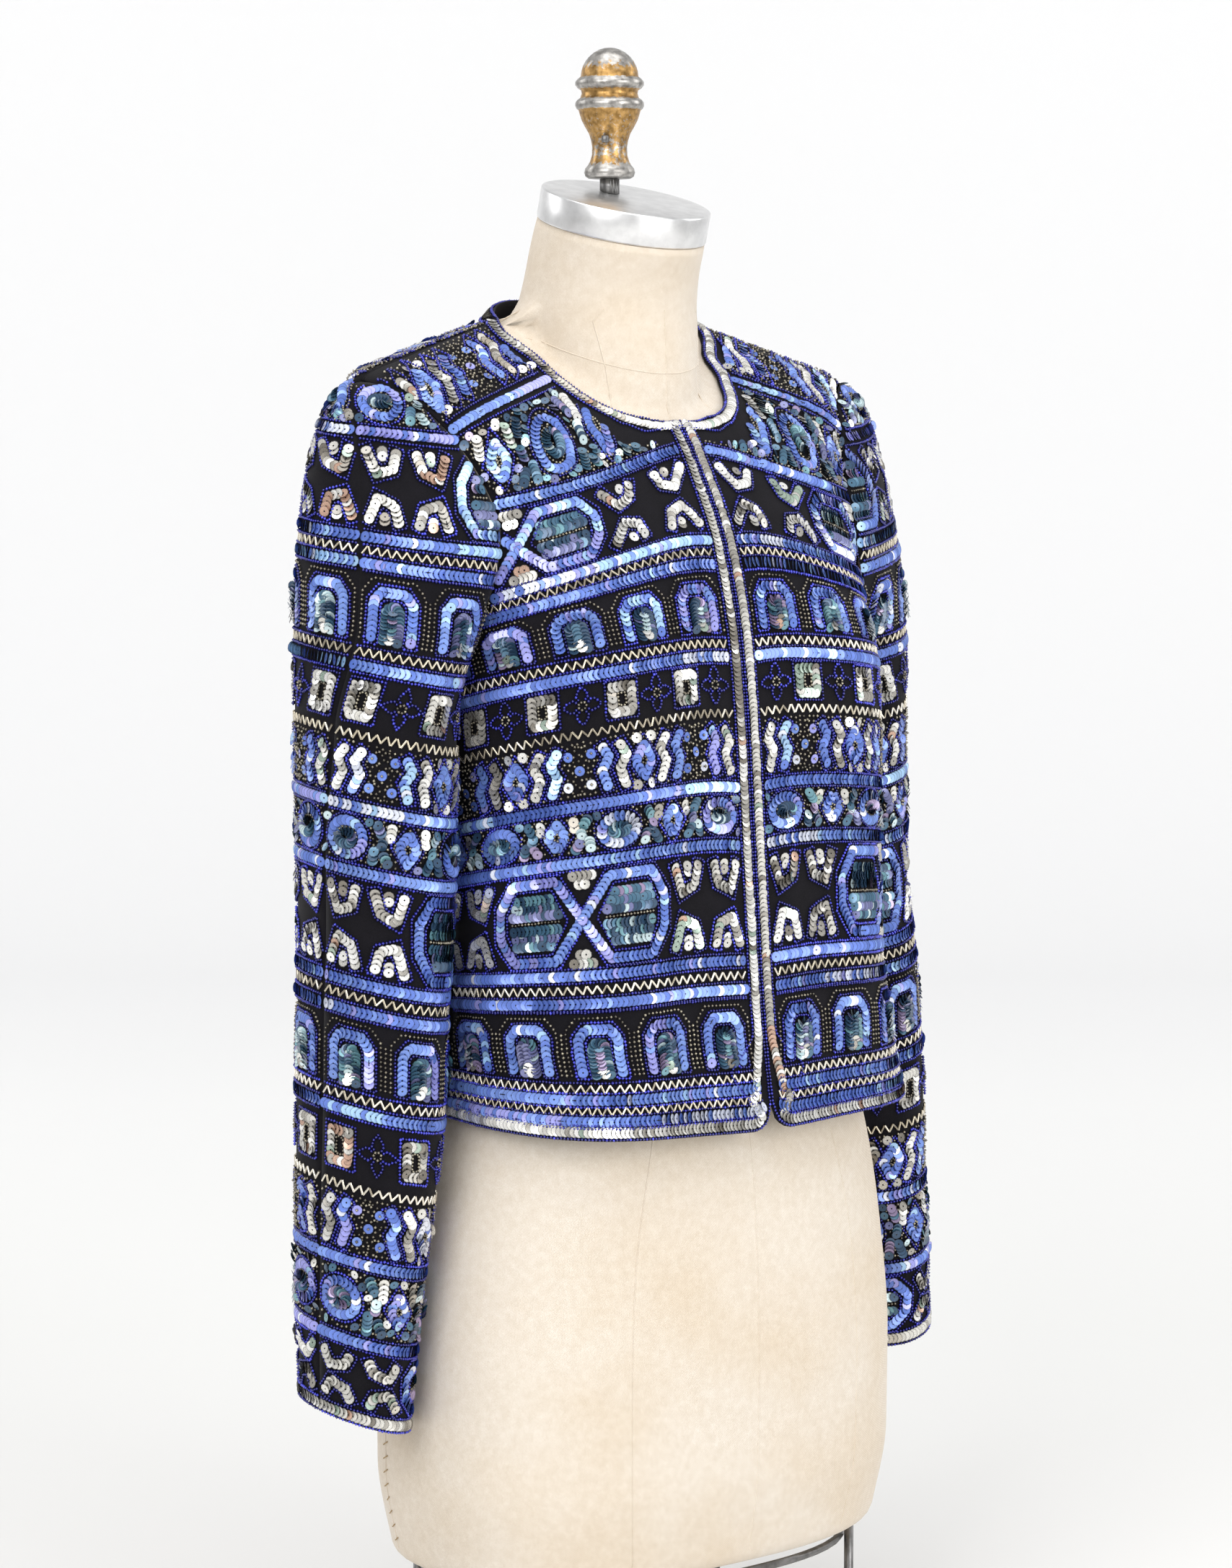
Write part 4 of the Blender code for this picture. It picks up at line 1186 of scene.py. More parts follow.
def rod_template(sides=6):
    """Rod of radius 1 and length 1 along its second axis."""
    turns = 2 * np.pi * np.arange(sides) / sides
    ring = np.column_stack([np.cos(turns), np.zeros(sides), np.sin(turns)])
    template = np.vstack([ring + [0, -0.5, 0], ring + [0, 0.5, 0]])
    k = np.arange(sides)
    n = (k + 1) % sides
    faces = np.vstack([np.column_stack([k, n, k + sides]),
                       np.column_stack([n, n + sides, k + sides])])
    return template, faces, np.ones(2 * sides)


class Pile:
    """Copies of small meshes gathered for one object, in a few materials."""

    def __init__(self, kinds):
        self.kinds = kinds
        self.parts = []

    def add(self, small, kind, centres, axes, tints):
        template, faces, rims = small
        verts, joined, colours = copies(template, faces, centres, axes, tints, rims)
        self.parts.append((verts, joined, colours, np.full(len(joined), self.kinds.index(kind))))


def make_sequins(work, materials):
    """One mesh of all the panel's sequins, in three finishes."""
    disc = disc_template()
    pile = Pile(("blue", "teal", "silver"))
    for kind, face, normal, tangent, tilts, size, lift, tints in work.sequins:
        angle = np.radians(tilts)[:, None]
        radius = size / 2
        along = tangent * np.cos(angle) + normal * np.sin(angle)
        out = normal * np.cos(angle) - tangent * np.sin(angle)
        across = np.cross(along, out)
        roll = np.radians(rng.normal(0, SEQUIN_ROLL, len(face)))[:, None]
        rolled = across * np.cos(roll) + out * np.sin(roll)
        out = out * np.cos(roll) - across * np.sin(roll)
        rise = SEQUIN_RISE - CLOTH_INSET + lift + radius * np.abs(np.sin(angle))
        axes = (rolled * radius, along * radius, out * radius)
        pile.add(disc, kind, face + normal * rise, axes, tints)
    return joined_object(work, work.name + "_sequins", pile.parts, materials)


def make_beads(work, materials):
    """One mesh of the panel's seed beads, bugles and stitches."""
    pile = Pile(("navy", "pewter", "bugle", "thread"))
    grain = bead_template()
    for kind, face, normal, tangent, lift in work.beads:
        count = len(face)
        across = np.cross(normal, tangent)
        radius = BEAD / 2 * rng.uniform(0.9, 1.1, (count, 1))
        shake = rng.normal(0, BEAD_SHAKE, (count, 1))
        centres = face + normal * (BEAD / 2 - CLOTH_INSET + lift) + across * shake
        axes = (across * radius, tangent * radius, normal * radius)
        pile.add(grain, kind, centres, axes, tinted(kind, count))
    rod = rod_template()
    for kind, face, normal, way, long, wide, lift in work.rods:
        count = len(face)
        across = np.cross(way, normal)
        centres = face + normal * (wide / 2 - CLOTH_INSET + lift)
        axes = (across * wide / 2, way * long * rng.uniform(0.92, 1.05, (count, 1)),
                normal * wide / 2)
        pile.add(rod, kind, centres, axes, tinted(kind, count))
    return joined_object(work, work.name + "_beads", pile.parts, materials)


def joined_object(work, name, parts, materials):
    offset = 0
    all_faces = []
    for verts, joined, _, _ in parts:
        all_faces.append(joined + offset)
        offset += len(verts)
    verts = to_metres(np.concatenate([part[0] for part in parts]), work.chart.side)
    colours = np.concatenate([part[2] for part in parts])
    indices = np.concatenate([part[3] for part in parts])
    return mesh_object(name, verts, np.concatenate(all_faces), materials, indices, colours)


# Cloth shells

def shell_object(name, outer, inner, side, material):
    """Thin closed cloth between two matching grids of points."""
    rows, columns, _ = outer.shape
    grid = np.arange(rows * columns).reshape(rows, columns)
    under = grid + rows * columns
    quads = [np.stack([grid[:-1, :-1], grid[:-1, 1:], grid[1:, 1:], grid[1:, :-1]], -1),
             np.stack([under[:-1, :-1], under[1:, :-1], under[1:, 1:], under[:-1, 1:]], -1)]
    faces = [quad.reshape(-1, 4) for quad in quads]
    rim = np.concatenate([grid[:-1, 0], grid[-1, :-1], grid[:0:-1, -1], grid[0, :0:-1]])
    ahead = np.roll(rim, -1)
    faces.append(np.stack([rim, ahead, ahead + rows * columns, rim + rows * columns], -1))
    points = np.concatenate([outer.reshape(-1, 3), inner.reshape(-1, 3)])
    return mesh_object(name, to_metres(points, side), np.concatenate(faces), [material])


def shell_grids(points, flip):
    normal = grid_normals(points) * flip
    return points - CLOTH_INSET * normal, points - WALL * normal


def body_levels(count):
    return np.concatenate([np.linspace(HEM_Z, NECK_FRONT_Z, count),
                           [NECKLINE_HEIGHT(angle) for angle in np.linspace(4, 90, 22)]])


def front_shell(side, name, material):
    shares = np.concatenate([[0, 0.015, 0.03, 0.05, 0.075], np.linspace(0.1, 1, 36)])
    points = np.array([[jacket_point(*front_place(share, level)) for share in shares]
                       for level in body_levels(64)])
    outer, inner = shell_grids(points, 1)
    return shell_object(name, outer, inner, side, material)


def back_shell(name, material):
    shares = np.linspace(0, 1, 41)
    levels = np.concatenate([np.linspace(HEM_Z, 740, 50), np.linspace(740, NECK_SIDE_Z, 30)[1:]])
    half = np.array([[jacket_point(*back_place(share, level)) for share in shares]
                     for level in levels])
    mirror = half[:, :0:-1] * np.array([-1.0, 1.0, 1.0])
    points = np.concatenate([mirror, half], axis=1)
    outer, inner = shell_grids(points, -1)
    return shell_object(name, outer, inner, 1, material)


def sleeve_shell(side, is_front, name, material):
    falls = np.concatenate([np.linspace(0, 1, 34), np.linspace(1, 2, 46)[1:]])
    points = np.array([[sleeve_point(sleeve_turn(share, fall, is_front), fall, side)
                        for share in np.linspace(0, 1, 31)] for fall in falls])
    outer, inner = shell_grids(points, 1 if is_front else -1)
    return shell_object(name, outer, inner, side, material)


# Materials: each is named for what it is and how it was made

def add_node(tree, kind, inputs=None, **settings):
    """A node with its settings; inputs maps sockets to values or other nodes' outputs."""
    made = tree.nodes.new(kind)
    for name, value in settings.items():
        setattr(made, name, value)
    for name, value in (inputs or {}).items():
        if isinstance(value, bpy.types.NodeSocket):
            tree.links.new(value, made.inputs[name])
        else:
            made.inputs[name].default_value = value
    return made


def new_material(name, **values):
    """Material with its shader; values are the shader's own sockets."""
    material = bpy.data.materials.new(name)
    material.use_nodes = True
    tree = material.node_tree
    shader = tree.nodes["Principled BSDF"]
    for socket, value in values.items():
        shader.inputs[socket.replace("_", " ")].default_value = value
    return material, tree, shader


def add_bump(tree, shader, height, strength, distance):
    bump = add_node(tree, "ShaderNodeBump", {"Height": height, "Strength": strength,
                                             "Distance": distance * MM})
    tree.links.new(bump.outputs["Normal"], shader.inputs["Normal"])
    return bump


def object_place(tree):
    return add_node(tree, "ShaderNodeTexCoord").outputs["Object"]


def noise(tree, scale_mm, detail=2.0, roughness=0.5, stretch=(1, 1, 1)):
    """Noise whose features are about scale_mm across."""
    mapping = add_node(tree, "ShaderNodeMapping", {"Vector": object_place(tree),
                                                   "Scale": stretch})
    made = add_node(tree, "ShaderNodeTexNoise",
                    {"Vector": mapping.outputs["Vector"], "Scale": 1 / (scale_mm * MM),
                     "Detail": detail, "Roughness": roughness})
    return made.outputs["Fac"]


def ramp(tree, fac, stops):
    """Colour ramp from places and sRGB colours."""
    made = add_node(tree, "ShaderNodeValToRGB", {"Fac": fac})
    elements = made.color_ramp.elements
    while len(elements) < len(stops):
        elements.new(0.5)
    for element, (place, colour) in zip(elements, stops):
        element.position = place
        element.color = rgba(colour)
    return made.outputs["Color"]


def maths(tree, operation, first, second):
    return add_node(tree, "ShaderNodeMath", {0: first, 1: second},
                    operation=operation).outputs["Value"]


def mixed(tree, fac, first, second, blend="MIX"):
    """Colour mix; first and second are colours or outputs."""
    made = add_node(tree, "ShaderNodeMix", data_type="RGBA", blend_type=blend)
    for socket, value in ((0, fac), (6, first), (7, second)):
        if isinstance(value, bpy.types.NodeSocket):
            tree.links.new(value, made.inputs[socket])
        else:
            made.inputs[socket].default_value = value
    return made.outputs[2]


def sequin_material(name, metallic, roughness, coat):
    """Punched film sequin: its tint, a painted shade round its rim for the shadow where sequins
    overlap, its thread hole, grain in the satin.
    """
    material, tree, shader = new_material(name, Metallic=metallic, Coat_Weight=coat,
                                          Coat_Roughness=0.12)
    tint = add_node(tree, "ShaderNodeAttribute", attribute_name="tint")
    hole = maths(tree, "LESS_THAN", tint.outputs["Alpha"], 0.17)
    # Painted shade: near its rim each sequin is darkened halfway to near-black, for the shadow
    # where the next sequin overlaps it.
    rim = maths(tree, "GREATER_THAN", tint.outputs["Alpha"], 0.88)
    shaded = mixed(tree, maths(tree, "MULTIPLY", rim, 0.5), tint.outputs["Color"],
                   rgba("#101020"))
    colour = mixed(tree, hole, shaded, rgba("#08070d"))
    tree.links.new(colour, shader.inputs["Base Color"])
    grain = noise(tree, 0.5, 1.0)
    spread = maths(tree, "MULTIPLY_ADD", grain, 0.16)
    spread.node.inputs[2].default_value = roughness - 0.08
    tree.links.new(spread, shader.inputs["Roughness"])
    return material


def glass_material(name, metallic, roughness):
    """Small pressed-glass bead, coloured through."""
    material, tree, shader = new_material(name, Metallic=metallic, IOR=1.52,
                                          Coat_Weight=0.6, Coat_Roughness=0.05)
    tint = add_node(tree, "ShaderNodeAttribute", attribute_name="tint")
    tree.links.new(tint.outputs["Color"], shader.inputs["Base Color"])
    shade = noise(tree, 1.3, 0.0)
    spread = maths(tree, "MULTIPLY_ADD", shade, 0.14)
    spread.node.inputs[2].default_value = roughness - 0.05
    tree.links.new(spread, shader.inputs["Roughness"])
    return material


def thread_material():
    """Waxed black sewing thread."""
    material, tree, shader = new_material("waxed_black_thread", Roughness=0.7)
    tree.links.new(ramp(tree, noise(tree, 0.6), ((0.3, "#08070a"), (0.7, "#1c1a22"))),
                   shader.inputs["Base Color"])
    return material


def crepe_material():
    """Black wool crepe: fine pebbled yarns, dull, with a trace of nap."""
    material, tree, shader = new_material("black_crepe_cloth", Roughness=0.95,
                                          Sheen_Weight=0.04, Sheen_Roughness=0.5,
                                          Specular_IOR_Level=0.2)
    fine = noise(tree, 0.45, 3.0, 0.6)
    broad = noise(tree, 14.0)
    tone = maths(tree, "ADD", maths(tree, "MULTIPLY", fine, 0.7),
                 maths(tree, "MULTIPLY", broad, 0.3))
    tree.links.new(ramp(tree, tone, ((0.35, "#060509"), (0.65, "#131117"))),
                   shader.inputs["Base Color"])
    add_bump(tree, shader, fine, 0.5, 0.25)
    return material


def linen_material():
    """Plain cream linen over padding: twill lines, slubs and old handling."""
    material, tree, shader = new_material("cream_linen_cover", Roughness=0.9,
                                          Sheen_Weight=0.15, Sheen_Roughness=0.6)
    place = object_place(tree)
    axes = add_node(tree, "ShaderNodeSeparateXYZ", {"Vector": place})
    run = maths(tree, "SUBTRACT", axes.outputs["X"], axes.outputs["Y"])
    slope = maths(tree, "ADD", maths(tree, "MULTIPLY", run, 1.2), axes.outputs["Z"])
    rib = maths(tree, "SINE", maths(tree, "MULTIPLY", slope, 2 * math.pi / (1.5 * MM)), 0.0)
    yarn = noise(tree, 0.8, 2.0, 0.6)
    slub = noise(tree, 5.0, 2.0, 0.5)
    stain = noise(tree, 90.0, 3.0, 0.5)
    weave = maths(tree, "ADD", maths(tree, "MULTIPLY", rib, 0.16), yarn)
    tone = maths(tree, "ADD", maths(tree, "MULTIPLY", weave, 0.6),
                 maths(tree, "MULTIPLY", slub, 0.4))
    cloth = ramp(tree, tone, ((0.30, "#cdc1b0"), (0.50, "#d6cbbc"), (0.72, "#e0d8cc")))
    patches = ramp(tree, stain, ((0.30, "#f0e4d0"), (0.62, "#ffffff")))
    tree.links.new(mixed(tree, 0.55, cloth, patches, "MULTIPLY"), shader.inputs["Base Color"])
    add_bump(tree, shader, weave, 0.35, 0.15)
    return material


def tan_thread_material():
    """Unbleached linen thread."""
    material, tree, shader = new_material("tan_linen_thread", Roughness=0.85)
    tree.links.new(ramp(tree, noise(tree, 0.8), ((0.3, "#93784f"), (0.7, "#b39b72"))),
                   shader.inputs["Base Color"])
    return material


def metal_material(name, colours, roughness, scratch, anisotropic=0.0):
    """Worn metal: patches of tone, fine scratches in its polish."""
    material, tree, shader = new_material(name, Metallic=1.0, Anisotropic=anisotropic)
    patch = noise(tree, 9.0, 4.0, 0.6)
    low, high = colours
    tree.links.new(ramp(tree, patch, ((0.36, low), (0.62, high))), shader.inputs["Base Color"])
    lines = noise(tree, 0.5, 2.0, 0.6, scratch)
    spread = maths(tree, "MULTIPLY_ADD", lines, 0.22)
    spread.node.inputs[2].default_value = roughness - 0.11
    tree.links.new(spread, shader.inputs["Roughness"])
    add_bump(tree, shader, lines, 0.15, 0.04)
    return material


def smooth_copy(node, material):
    """A metal piece from its CAD node, shaded smooth but for its true edges."""
    work = bmesh.new()
    work.from_mesh(node.data)
    bmesh.ops.transform(work, matrix=node.matrix_world, verts=work.verts)
    bmesh.ops.remove_doubles(work, verts=work.verts, dist=1e-6)
    mesh = bpy.data.meshes.new(node.name + "_metal")
    work.to_mesh(mesh)
    work.free()
    mesh.shade_smooth()
    mesh.set_sharp_from_angle(angle=SHARP_EDGE)
    mesh.materials.clear()
    mesh.materials.append(material)
    made = bpy.data.objects.new(node.name + "_metal", mesh)
    bpy.context.scene.collection.objects.link(made)
    return made


FinialPoint = namedtuple("FinialPoint", "height radius gilt")
# Turned profile, and how much gilt paint is left there: plenty in the hollows.
FINIAL = table(
    FinialPoint,
    (0.0, 0.01, 0.0), (0.0, 12.8, 0.0), (1.2, 14.7, 0.0), (3.5, 15.5, 0.1), (6.0, 14.9, 0.1),
    (8.0, 13.2, 0.4), (10.5, 11.8, 0.8), (14.0, 10.8, 0.6), (19.0, 10.6, 0.6), (23.0, 11.3, 0.7),
    (27.0, 12.6, 0.8), (31.0, 14.9, 0.8), (35.0, 17.0, 0.8), (39.0, 18.3, 0.9),
    (41.0, 18.8, 0.9), (41.8, 20.0, 0.2), (43.5, 20.9, 0.0), (45.5, 20.8, 0.0),
    (47.0, 19.8, 0.1), (48.4, 17.8, 0.9), (51.0, 17.0, 1.0), (53.0, 17.3, 1.0),
    (54.2, 19.4, 0.2), (56.0, 20.8, 0.0), (58.0, 20.8, 0.0), (59.6, 19.6, 0.1),
    (61.2, 17.5, 0.9), (64.5, 17.1, 0.9), (67.5, 16.2, 0.5), (70.5, 14.6, 0.3),
    (73.2, 12.4, 0.2), (75.6, 9.6, 0.2), (77.4, 6.2, 0.1), (78.3, 3.2, 0.1), (78.6, 0.01, 0.1))


def make_finial(material, steps=64):
    """Lathe the finial; its gilt share is kept as a tint."""
    turns = np.arange(steps) * 2 * math.pi / steps
    rings = [np.stack([row.radius * np.cos(turns), POST_Y + row.radius * np.sin(turns),
                       np.full(steps, FINIAL_BASE_Z + row.height)], -1) for row in FINIAL]
    grid = np.arange(len(FINIAL) * steps).reshape(len(FINIAL), steps)
    ahead = np.roll(grid, -1, axis=1)
    faces = np.stack([grid[:-1], ahead[:-1], ahead[1:], grid[1:]], -1).reshape(-1, 4)
    made = mesh_object("turned_finial", to_metres(np.array(rings).reshape(-1, 3), 1), faces,
                       [material])
    share = np.repeat([row.gilt for row in FINIAL], steps)
    gilt = made.data.attributes.new("gilt", "FLOAT", "POINT")
    gilt.data.foreach_set("value", share.astype(np.float32))
    return made


def gilt_material():
    """Turned grey metal whose gilt paint is worn and flaked off its rings."""
    material, tree, shader = new_material("worn_gilt_paint_on_turned_metal", Metallic=1.0)
    gilt = add_node(tree, "ShaderNodeAttribute", attribute_name="gilt").outputs["Fac"]
    flakes = noise(tree, 2.2, 4.0, 0.7)
    share = maths(tree, "SUBTRACT", maths(tree, "MULTIPLY_ADD", gilt, 0.5), flakes)
    share.node.inputs[0].links[0].from_node.inputs[2].default_value = 0.28
    cover = ramp(tree, maths(tree, "MULTIPLY", share, 8.0), ((0.0, "#000000"), (1.0, "#ffffff")))
    grey = ramp(tree, noise(tree, 4.0, 3.0), ((0.35, "#8d8a86"), (0.65, "#c2bfba")))
    gold = ramp(tree, noise(tree, 3.0, 3.0), ((0.35, "#8d6d40"), (0.65, "#c29b62")))
    colour = mixed(tree, 0.0, grey, gold)
    tree.links.new(cover, colour.node.inputs[0])
    tree.links.new(colour, shader.inputs["Base Color"])
    rough = noise(tree, 1.2, 2.0)
    spread = maths(tree, "MULTIPLY_ADD", rough, 0.25)
    spread.node.inputs[2].default_value = 0.24
    tree.links.new(spread, shader.inputs["Roughness"])
    add_bump(tree, shader, rough, 0.25, 0.08)
    return material


def floor_material():
    """Matt studio paper with painted light: paler the further it lies behind the form, as seen
    from the camera.
    """
    material, tree, shader = new_material("studio_paper_painted_paler_behind", Roughness=0.95)
    axes = add_node(tree, "ShaderNodeSeparateXYZ", {"Vector": object_place(tree)})
    # Painted light: the paper's colour brightens along the camera's line of sight behind the
    # form, for the brighter light on the backdrop.
    across = maths(tree, "MULTIPLY", axes.outputs["X"], -math.sin(CAMERA_TURN) / PAINTED_LIGHT_DEPTH)
    away = maths(tree, "MULTIPLY", axes.outputs["Y"], math.cos(CAMERA_TURN) / PAINTED_LIGHT_DEPTH)
    tone = ramp(tree, maths(tree, "ADD", across, away),
                ((0.0, "#e4e3e1"), (0.2, "#e6e6e4"), (0.43, "#f0f0ef"), (0.62, "#f3f3f3"),
                 (0.8, "#f3f3f3")))
    tree.links.new(tone, shader.inputs["Base Color"])
    return material


# The form's cover

def cover_point(degrees, height, lift=0.0):
    """Point of the linen cover; torso and neck run into each other softly."""
    centre = jacket_centre(height) if height > HEM_Z else FORM["centre"](height)
    if height > NECK_SIDE_Z:
        centre = NECK["centre"](height)
    torso = torso_radius(degrees, height)
    neck = neck_radius(degrees, height, centre)
    share = min(max(0.5 + 0.5 * (torso - neck) / NECK_BLEND, 0.0), 1.0)
    radius = lerp(neck, torso, share) + NECK_BLEND * share * (1 - share) + lift
    if height < TORSO_BOTTOM_Z + BOTTOM_ROUND:
        short = 1 - (height - TORSO_BOTTOM_Z) / BOTTOM_ROUND
        radius -= BOTTOM_ROUND * (1 - math.sqrt(max(1 - short * short, 0.0)))
    angle = math.radians(degrees)
    x = radius * math.sin(angle)
    y = centre - radius * math.cos(angle)
    lean = smooth_step((height - NECK_BACK_Z) / (NECK_TOP_Z - NECK_BACK_Z))
    z = height + lean * ((y - NECK_TOP_Y) * math.tan(CAP_TILT) - SEAT)
    return np.array([x, y, z])


def make_cover(material):
    """Loft of level rings from the flat underside to the neck's top."""
    heights = np.concatenate([[95.0, 95.2, 95.9, 97.2, 99.4, 103.0],
                              np.linspace(108, NECK_TOP_Z, 150)])
    degrees = np.arange(96) * 3.75
    rings = [[cover_point(turn, height) for turn in degrees] for height in heights]
    base = np.array(rings[0])
    middle = base.mean(axis=0)
    under = [middle + (base - middle) * share for share in (0.001, 0.3, 0.6, 0.85)]
    top = np.array(rings[-1])
    centre = top.mean(axis=0)
    over = [centre + (top - centre) * share for share in (0.7, 0.001)]
    points = np.array(under + [np.array(ring) for ring in rings] + over)
    rows, columns, _ = points.shape
    grid = np.arange(rows * columns).reshape(rows, columns)
    ahead = np.roll(grid, -1, axis=1)
    faces = np.stack([grid[:-1], ahead[:-1], ahead[1:], grid[1:]], -1).reshape(-1, 4)
    return mesh_object("linen_form", to_metres(points.reshape(-1, 3), 1), faces, [material])


def line_object(name, lines, radius, material):
    """Thin rounded lines laid along points in millimetres."""
    curve = bpy.data.curves.new(name, "CURVE")
    curve.dimensions = "3D"
    curve.bevel_depth = radius * MM
    curve.bevel_resolution = 1
    curve.use_fill_caps = True
    for points in lines:
        spline = curve.splines.new("POLY")
        spline.points.add(len(points) - 1)
        for slot, point in zip(spline.points, to_metres(np.array(points), 1)):
            slot.co = (*point, 1.0)
    curve.materials.append(material)
    made = bpy.data.objects.new(name, curve)
    bpy.context.scene.collection.objects.link(made)
    return made


def seam_turn(start, height):
    """The form's princess seams swing in at the waist and out at the bust."""
    swing = 0 if start in (0, 180) or abs(start) == SIDE_SEAM else WAIST_SWING
    near = math.exp(-((height - WAIST_Z) / WAIST_SPREAD) ** 2)
    return start - math.copysign(swing * near, start)


def make_form_seams(material):
    """Seams down the form and round the foot of its neck."""
    lines = [[cover_point(seam_turn(start, height), height, -SEAM_SINK)
              for height in np.arange(104, 852, 7.0)]
             for start in (0, 41, -41, SIDE_SEAM, -SIDE_SEAM, 140, -140, 180)]
    lines.append([cover_point(turn, 832 - 24 * math.cos(math.radians(turn)), -SEAM_SINK)
                  for turn in np.arange(0, 361, 5.0)])
    return line_object("form_seams", lines, 0.45, material)


def make_hand_stitches(material):
    """Slanting hand stitches that close the cover at its sides."""
    lines = []
    for side in (-SIDE_SEAM, SIDE_SEAM):
        for height in np.arange(108, 356, 8.5):
            lean = rng.uniform(0.8, 1.2)
            lines.append([cover_point(side - lean, height, 0.35),
                          cover_point(side + lean, height + 3.2, 0.35)])
    return line_object("form_side_stitches", lines, 0.34, material)


# Putting it together

def main_pieces():
    cloth = crepe_material()
    sequins = [sequin_material("blue_satin_sequins", 0.35, 0.30, 0.35),
               sequin_material("teal_pearl_sequins", 0.4, 0.24, 0.5),
               sequin_material("silver_pearl_sequins", 0.6, 0.26, 0.4)]
    beads = [glass_material("navy_glass_seed_beads", 0.15, 0.16),
             glass_material("pewter_lined_seed_beads", 0.6, 0.2),
             glass_material("champagne_lined_bugle_beads", 0.75, 0.22), thread_material()]
    panels = []
    rows, starts = front_chart()
    for side, label in ((-1, "right"), (1, "left")):
        chart = Chart(rows, starts, side, 1)
        neck = np.array([(chart.start(h), h) for h in np.arange(NECK_FRONT_Z - HEM_Z, 481, 1.5)])

        def near_neck(s, h, neck=neck):
            away = np.hypot(s[:, None] - neck[None, :, 0], h[:, None] - neck[None, :, 1])
            return away.min(axis=1) < EDGE_TRIM + 1.4

        edge = [tuple(place) for place in neck[::-1]]
        edge += [(0.0, 418.0), (0.0, 0.0), (float(chart.end(0)), 0.0)]
        panels.append(("front_" + label, chart, (EDGE_TRIM + 1.0, 1.8), [edge], near_neck,
                       front_shell(side, "front_%s_cloth" % label, cloth), BODY_BANDS))
    rows, starts = back_chart()
    neck_reach = lengths_along(rows[-1])[27]
    shell = back_shell("back_cloth", cloth)
    for side, label in ((-1, "right"), (1, "left")):
        chart = Chart(rows, starts, side, -1)
        top = float(chart.heights[-1])

        def near_back_neck(s, h, reach=neck_reach, top=top):
            return (s < reach) & (h > top - EDGE_TRIM - 1.4)

        edges = [[(0.0, 0.0), (float(chart.end(0)), 0.0)], [(neck_reach, top), (0.0, top)]]
        panels.append(("back_" + label, chart, (-1.0, 1.8), edges, near_back_neck, shell,
                       BODY_BANDS))
    for side, label in ((-1, "right"), (1, "left")):
        for is_front, half in ((True, "front"), (False, "back")):
            name = "sleeve_%s_%s" % (label, half)
            rows, starts = sleeve_chart(is_front, side)
            chart = Chart(rows, starts, side, -1 if is_front else 1)
            edges = [[(0.0, 0.0), (float(chart.end(0)), 0.0)]]
            panels.append((name, chart, (1.4, 1.8), edges, None,
                           sleeve_shell(side, is_front, name + "_cloth", cloth), SLEEVE_BANDS))
    made = {}
    for name, chart, margin, path, limit, shell, bands in panels:
        work = Work(name, chart, margin, limit)
        low = max(margin[0], 0.0)
        high = float(chart.ends.max())
        for band in bands:
            if band.low < chart.heights[-1]:
                FILLS[band.kind](work, band, low, high)
        for line in path:
            trim_along(work, line)
        for band in bands:
            if band.kind in ("ovals", "dots"):
                fill_bare_ground(work, band)
        pieces = (make_sequins(work, sequins), make_beads(work, beads))
        made.setdefault(shell.name, (shell, []))[1].extend(pieces)
    return made


# Type for a flat cut of the cloth, wide and long in metres; each sleeve half is one cut.
Cut = namedtuple("Cut", "wide long")


made = main_pieces()
for name, (shell, pieces) in made.items():
    node = name.replace("_cloth", "")
    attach(shell, "root")
    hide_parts(node)
    for piece in pieces:
        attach(piece, "root")

linen = linen_material()
cover = make_cover(linen)
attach(cover, "root")
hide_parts("form_body")
for piece in (make_form_seams(linen), make_hand_stitches(tan_thread_material())):
    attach(piece, "root")

finial = make_finial(gilt_material())
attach(finial, "root")
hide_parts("finial")

METALS = {
    "neck_cap": metal_material("spun_aluminium_cap", ("#e2e2e2", "#efefef"), 0.34, (1, 1, 14)),
    "post": metal_material("mild_steel_bar", ("#6d6c6b", "#8b8a89"), 0.4, (1, 1, 10)),
}
METALS["set_screw"] = METALS["post"]
for name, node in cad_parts.items():
    if name in METALS or name.startswith("foot"):
        piece = smooth_copy(node, METALS.get(name, METALS["post"]))
        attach(piece, "root")
        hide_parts(name)


# Studio: pale paper sweep, soft light, and the camera where the photo was taken

def make_sweep():
    """Floor that curves up behind the form."""
    bends = np.linspace(0.1, math.pi / 2, 14)
    profile = [(-SWEEP_REACH, 0.0), (SWEEP_START, 0.0)]
    profile += [(SWEEP_START + SWEEP_RADIUS * math.sin(bend),
                 SWEEP_RADIUS - SWEEP_RADIUS * math.cos(bend)) for bend in bends]
    profile.append((SWEEP_START + SWEEP_RADIUS, SWEEP_TOP))
    turn = CAMERA_TURN
    points = [(across * math.cos(turn) - away * math.sin(turn),
               across * math.sin(turn) + away * math.cos(turn), up)
              for away, up in profile for across in (-SWEEP_REACH, SWEEP_REACH)]
    faces = np.array([[2 * i, 2 * i + 1, 2 * i + 3, 2 * i + 2] for i in range(len(profile) - 1)])
    return mesh_object("studio_sweep", np.array(points), faces, [floor_material()])


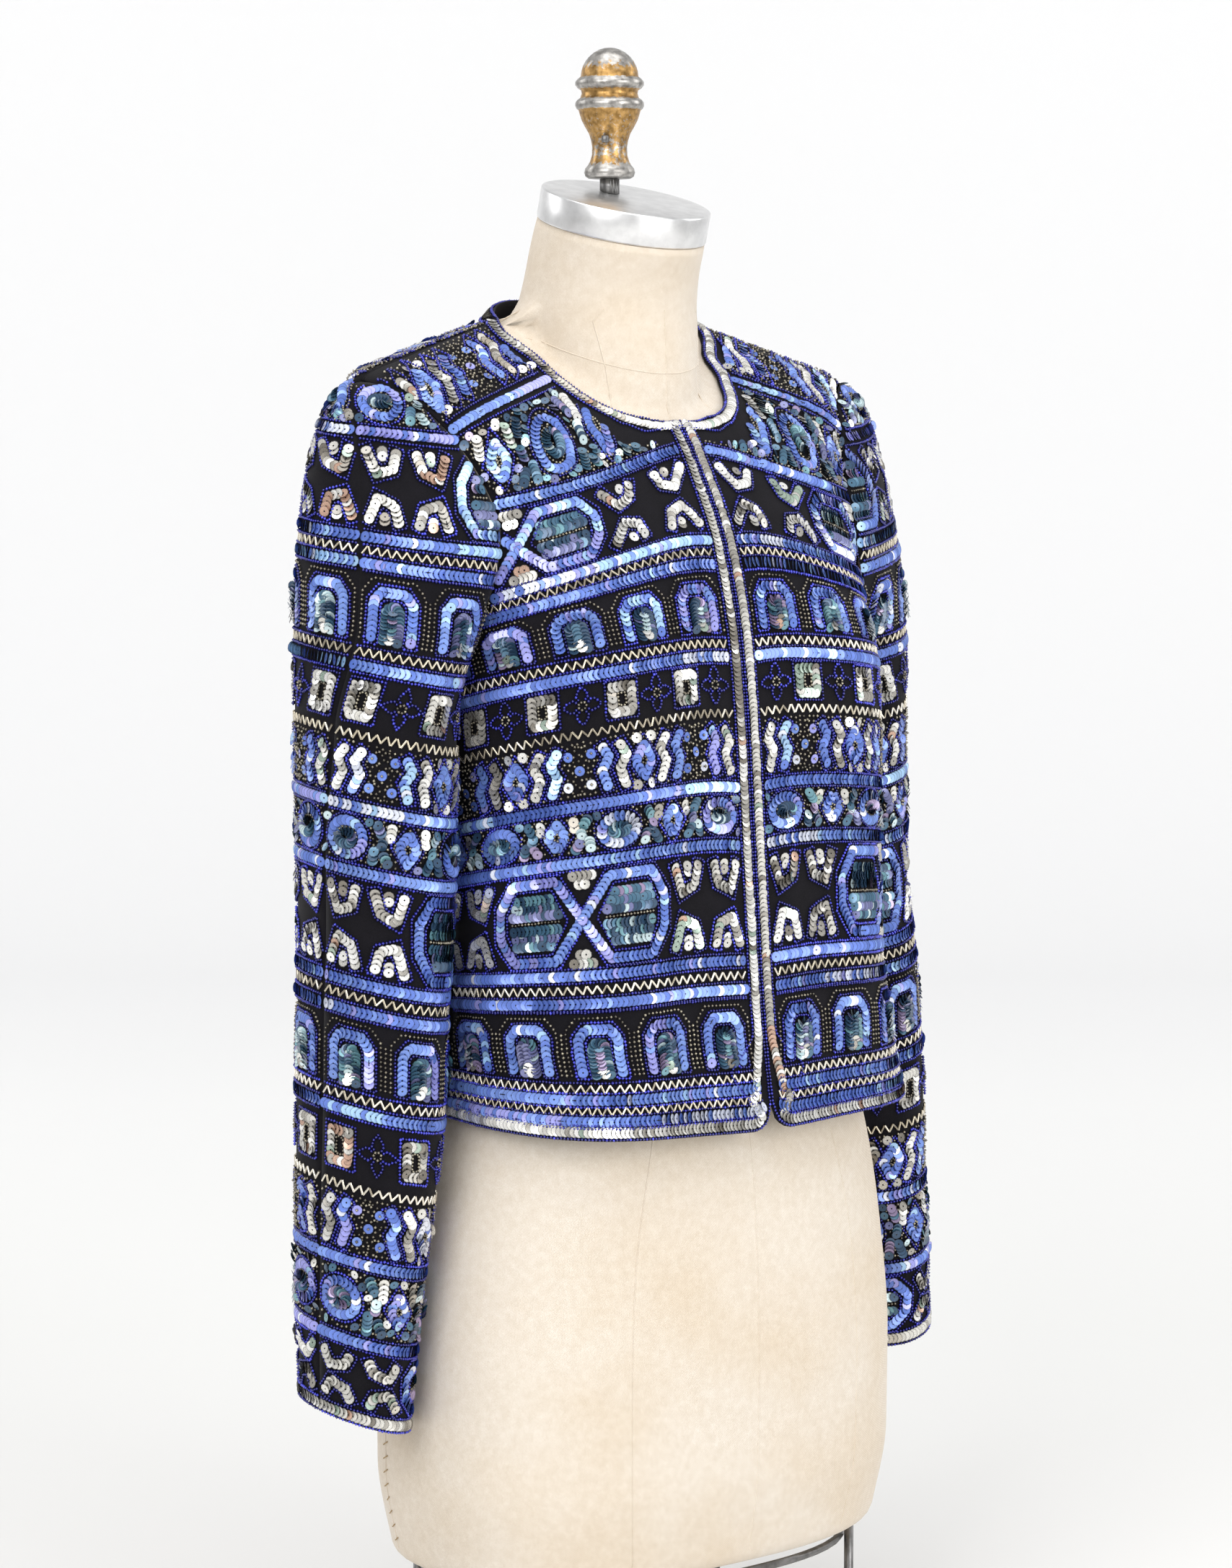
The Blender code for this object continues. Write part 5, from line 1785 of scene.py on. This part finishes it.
def add_softbox(name, place, aim, size, watts):
    light = bpy.data.lights.new(name, "AREA")
    light.shape = "RECTANGLE"
    light.size, light.size_y = size
    light.energy = watts
    made = bpy.data.objects.new(name, light)
    bpy.context.scene.collection.objects.link(made)
    made.location = place
    made.rotation_euler = (Vector(aim) - Vector(place)).to_track_quat("-Z", "Y").to_euler()
    return made


make_sweep()
TOWARDS_CAMERA = Vector((math.sin(CAMERA_TURN), -math.cos(CAMERA_TURN), 0.0))
CAMERA_RIGHT = Vector((math.cos(CAMERA_TURN), math.sin(CAMERA_TURN), 0.0))
CENTRE = Vector((0.0, FRAME_Y * MM, 0.6))
# Each light's place: metres towards the camera, to the camera's right, and up.
for name, along, across, up, size, watts in (
        ("key softbox", 2.9, -1.3, 2.0, (1.8, 2.0), 54.0),
        ("fill softbox", 2.4, 2.4, 1.3, (1.6, 2.2), 54.0),
        ("top softbox", 0.6, 0.0, 2.9, (2.4, 2.4), 36.0),
        ("background light left", -1.2, -3.2, 2.2, (1.4, 2.4), 40.0),
        ("background light right", -1.2, 3.2, 2.2, (1.4, 2.4), 40.0)):
    place = TOWARDS_CAMERA * along + CAMERA_RIGHT * across + Vector((0, 0, up))
    aim = CENTRE if along > 0 else CENTRE - TOWARDS_CAMERA * 4.0
    add_softbox(name, place, aim, size, watts)

world = bpy.data.worlds.new("pale studio")
world.use_nodes = True
world.node_tree.nodes["Background"].inputs["Color"].default_value = rgba("#f6f6f7")
world.node_tree.nodes["Background"].inputs["Strength"].default_value = 0.55
bpy.context.scene.world = world
bpy.context.scene.view_settings.view_transform = "Standard"
bpy.context.scene.view_settings.look = "None"

camera = bpy.data.objects.new("camera", bpy.data.cameras.new("camera"))
bpy.context.scene.collection.objects.link(camera)
camera.data.sensor_width = 36.0
camera.data.lens = 18.0 / math.tan(math.radians(CAMERA_VIEW / 2))
camera.data.clip_end = 100.0
foot_point = CENTRE + TOWARDS_CAMERA * CAMERA_AWAY
camera.location = (foot_point.x, foot_point.y, CAMERA_HEIGHT)
aim = CENTRE - CAMERA_RIGHT * AIM_LEFT
aim.z = CAMERA_HEIGHT - math.tan(math.radians(CAMERA_TILT)) * CAMERA_AWAY
camera.rotation_euler = (aim - camera.location).to_track_quat("-Z", "Y").to_euler()
bpy.context.scene.camera = camera
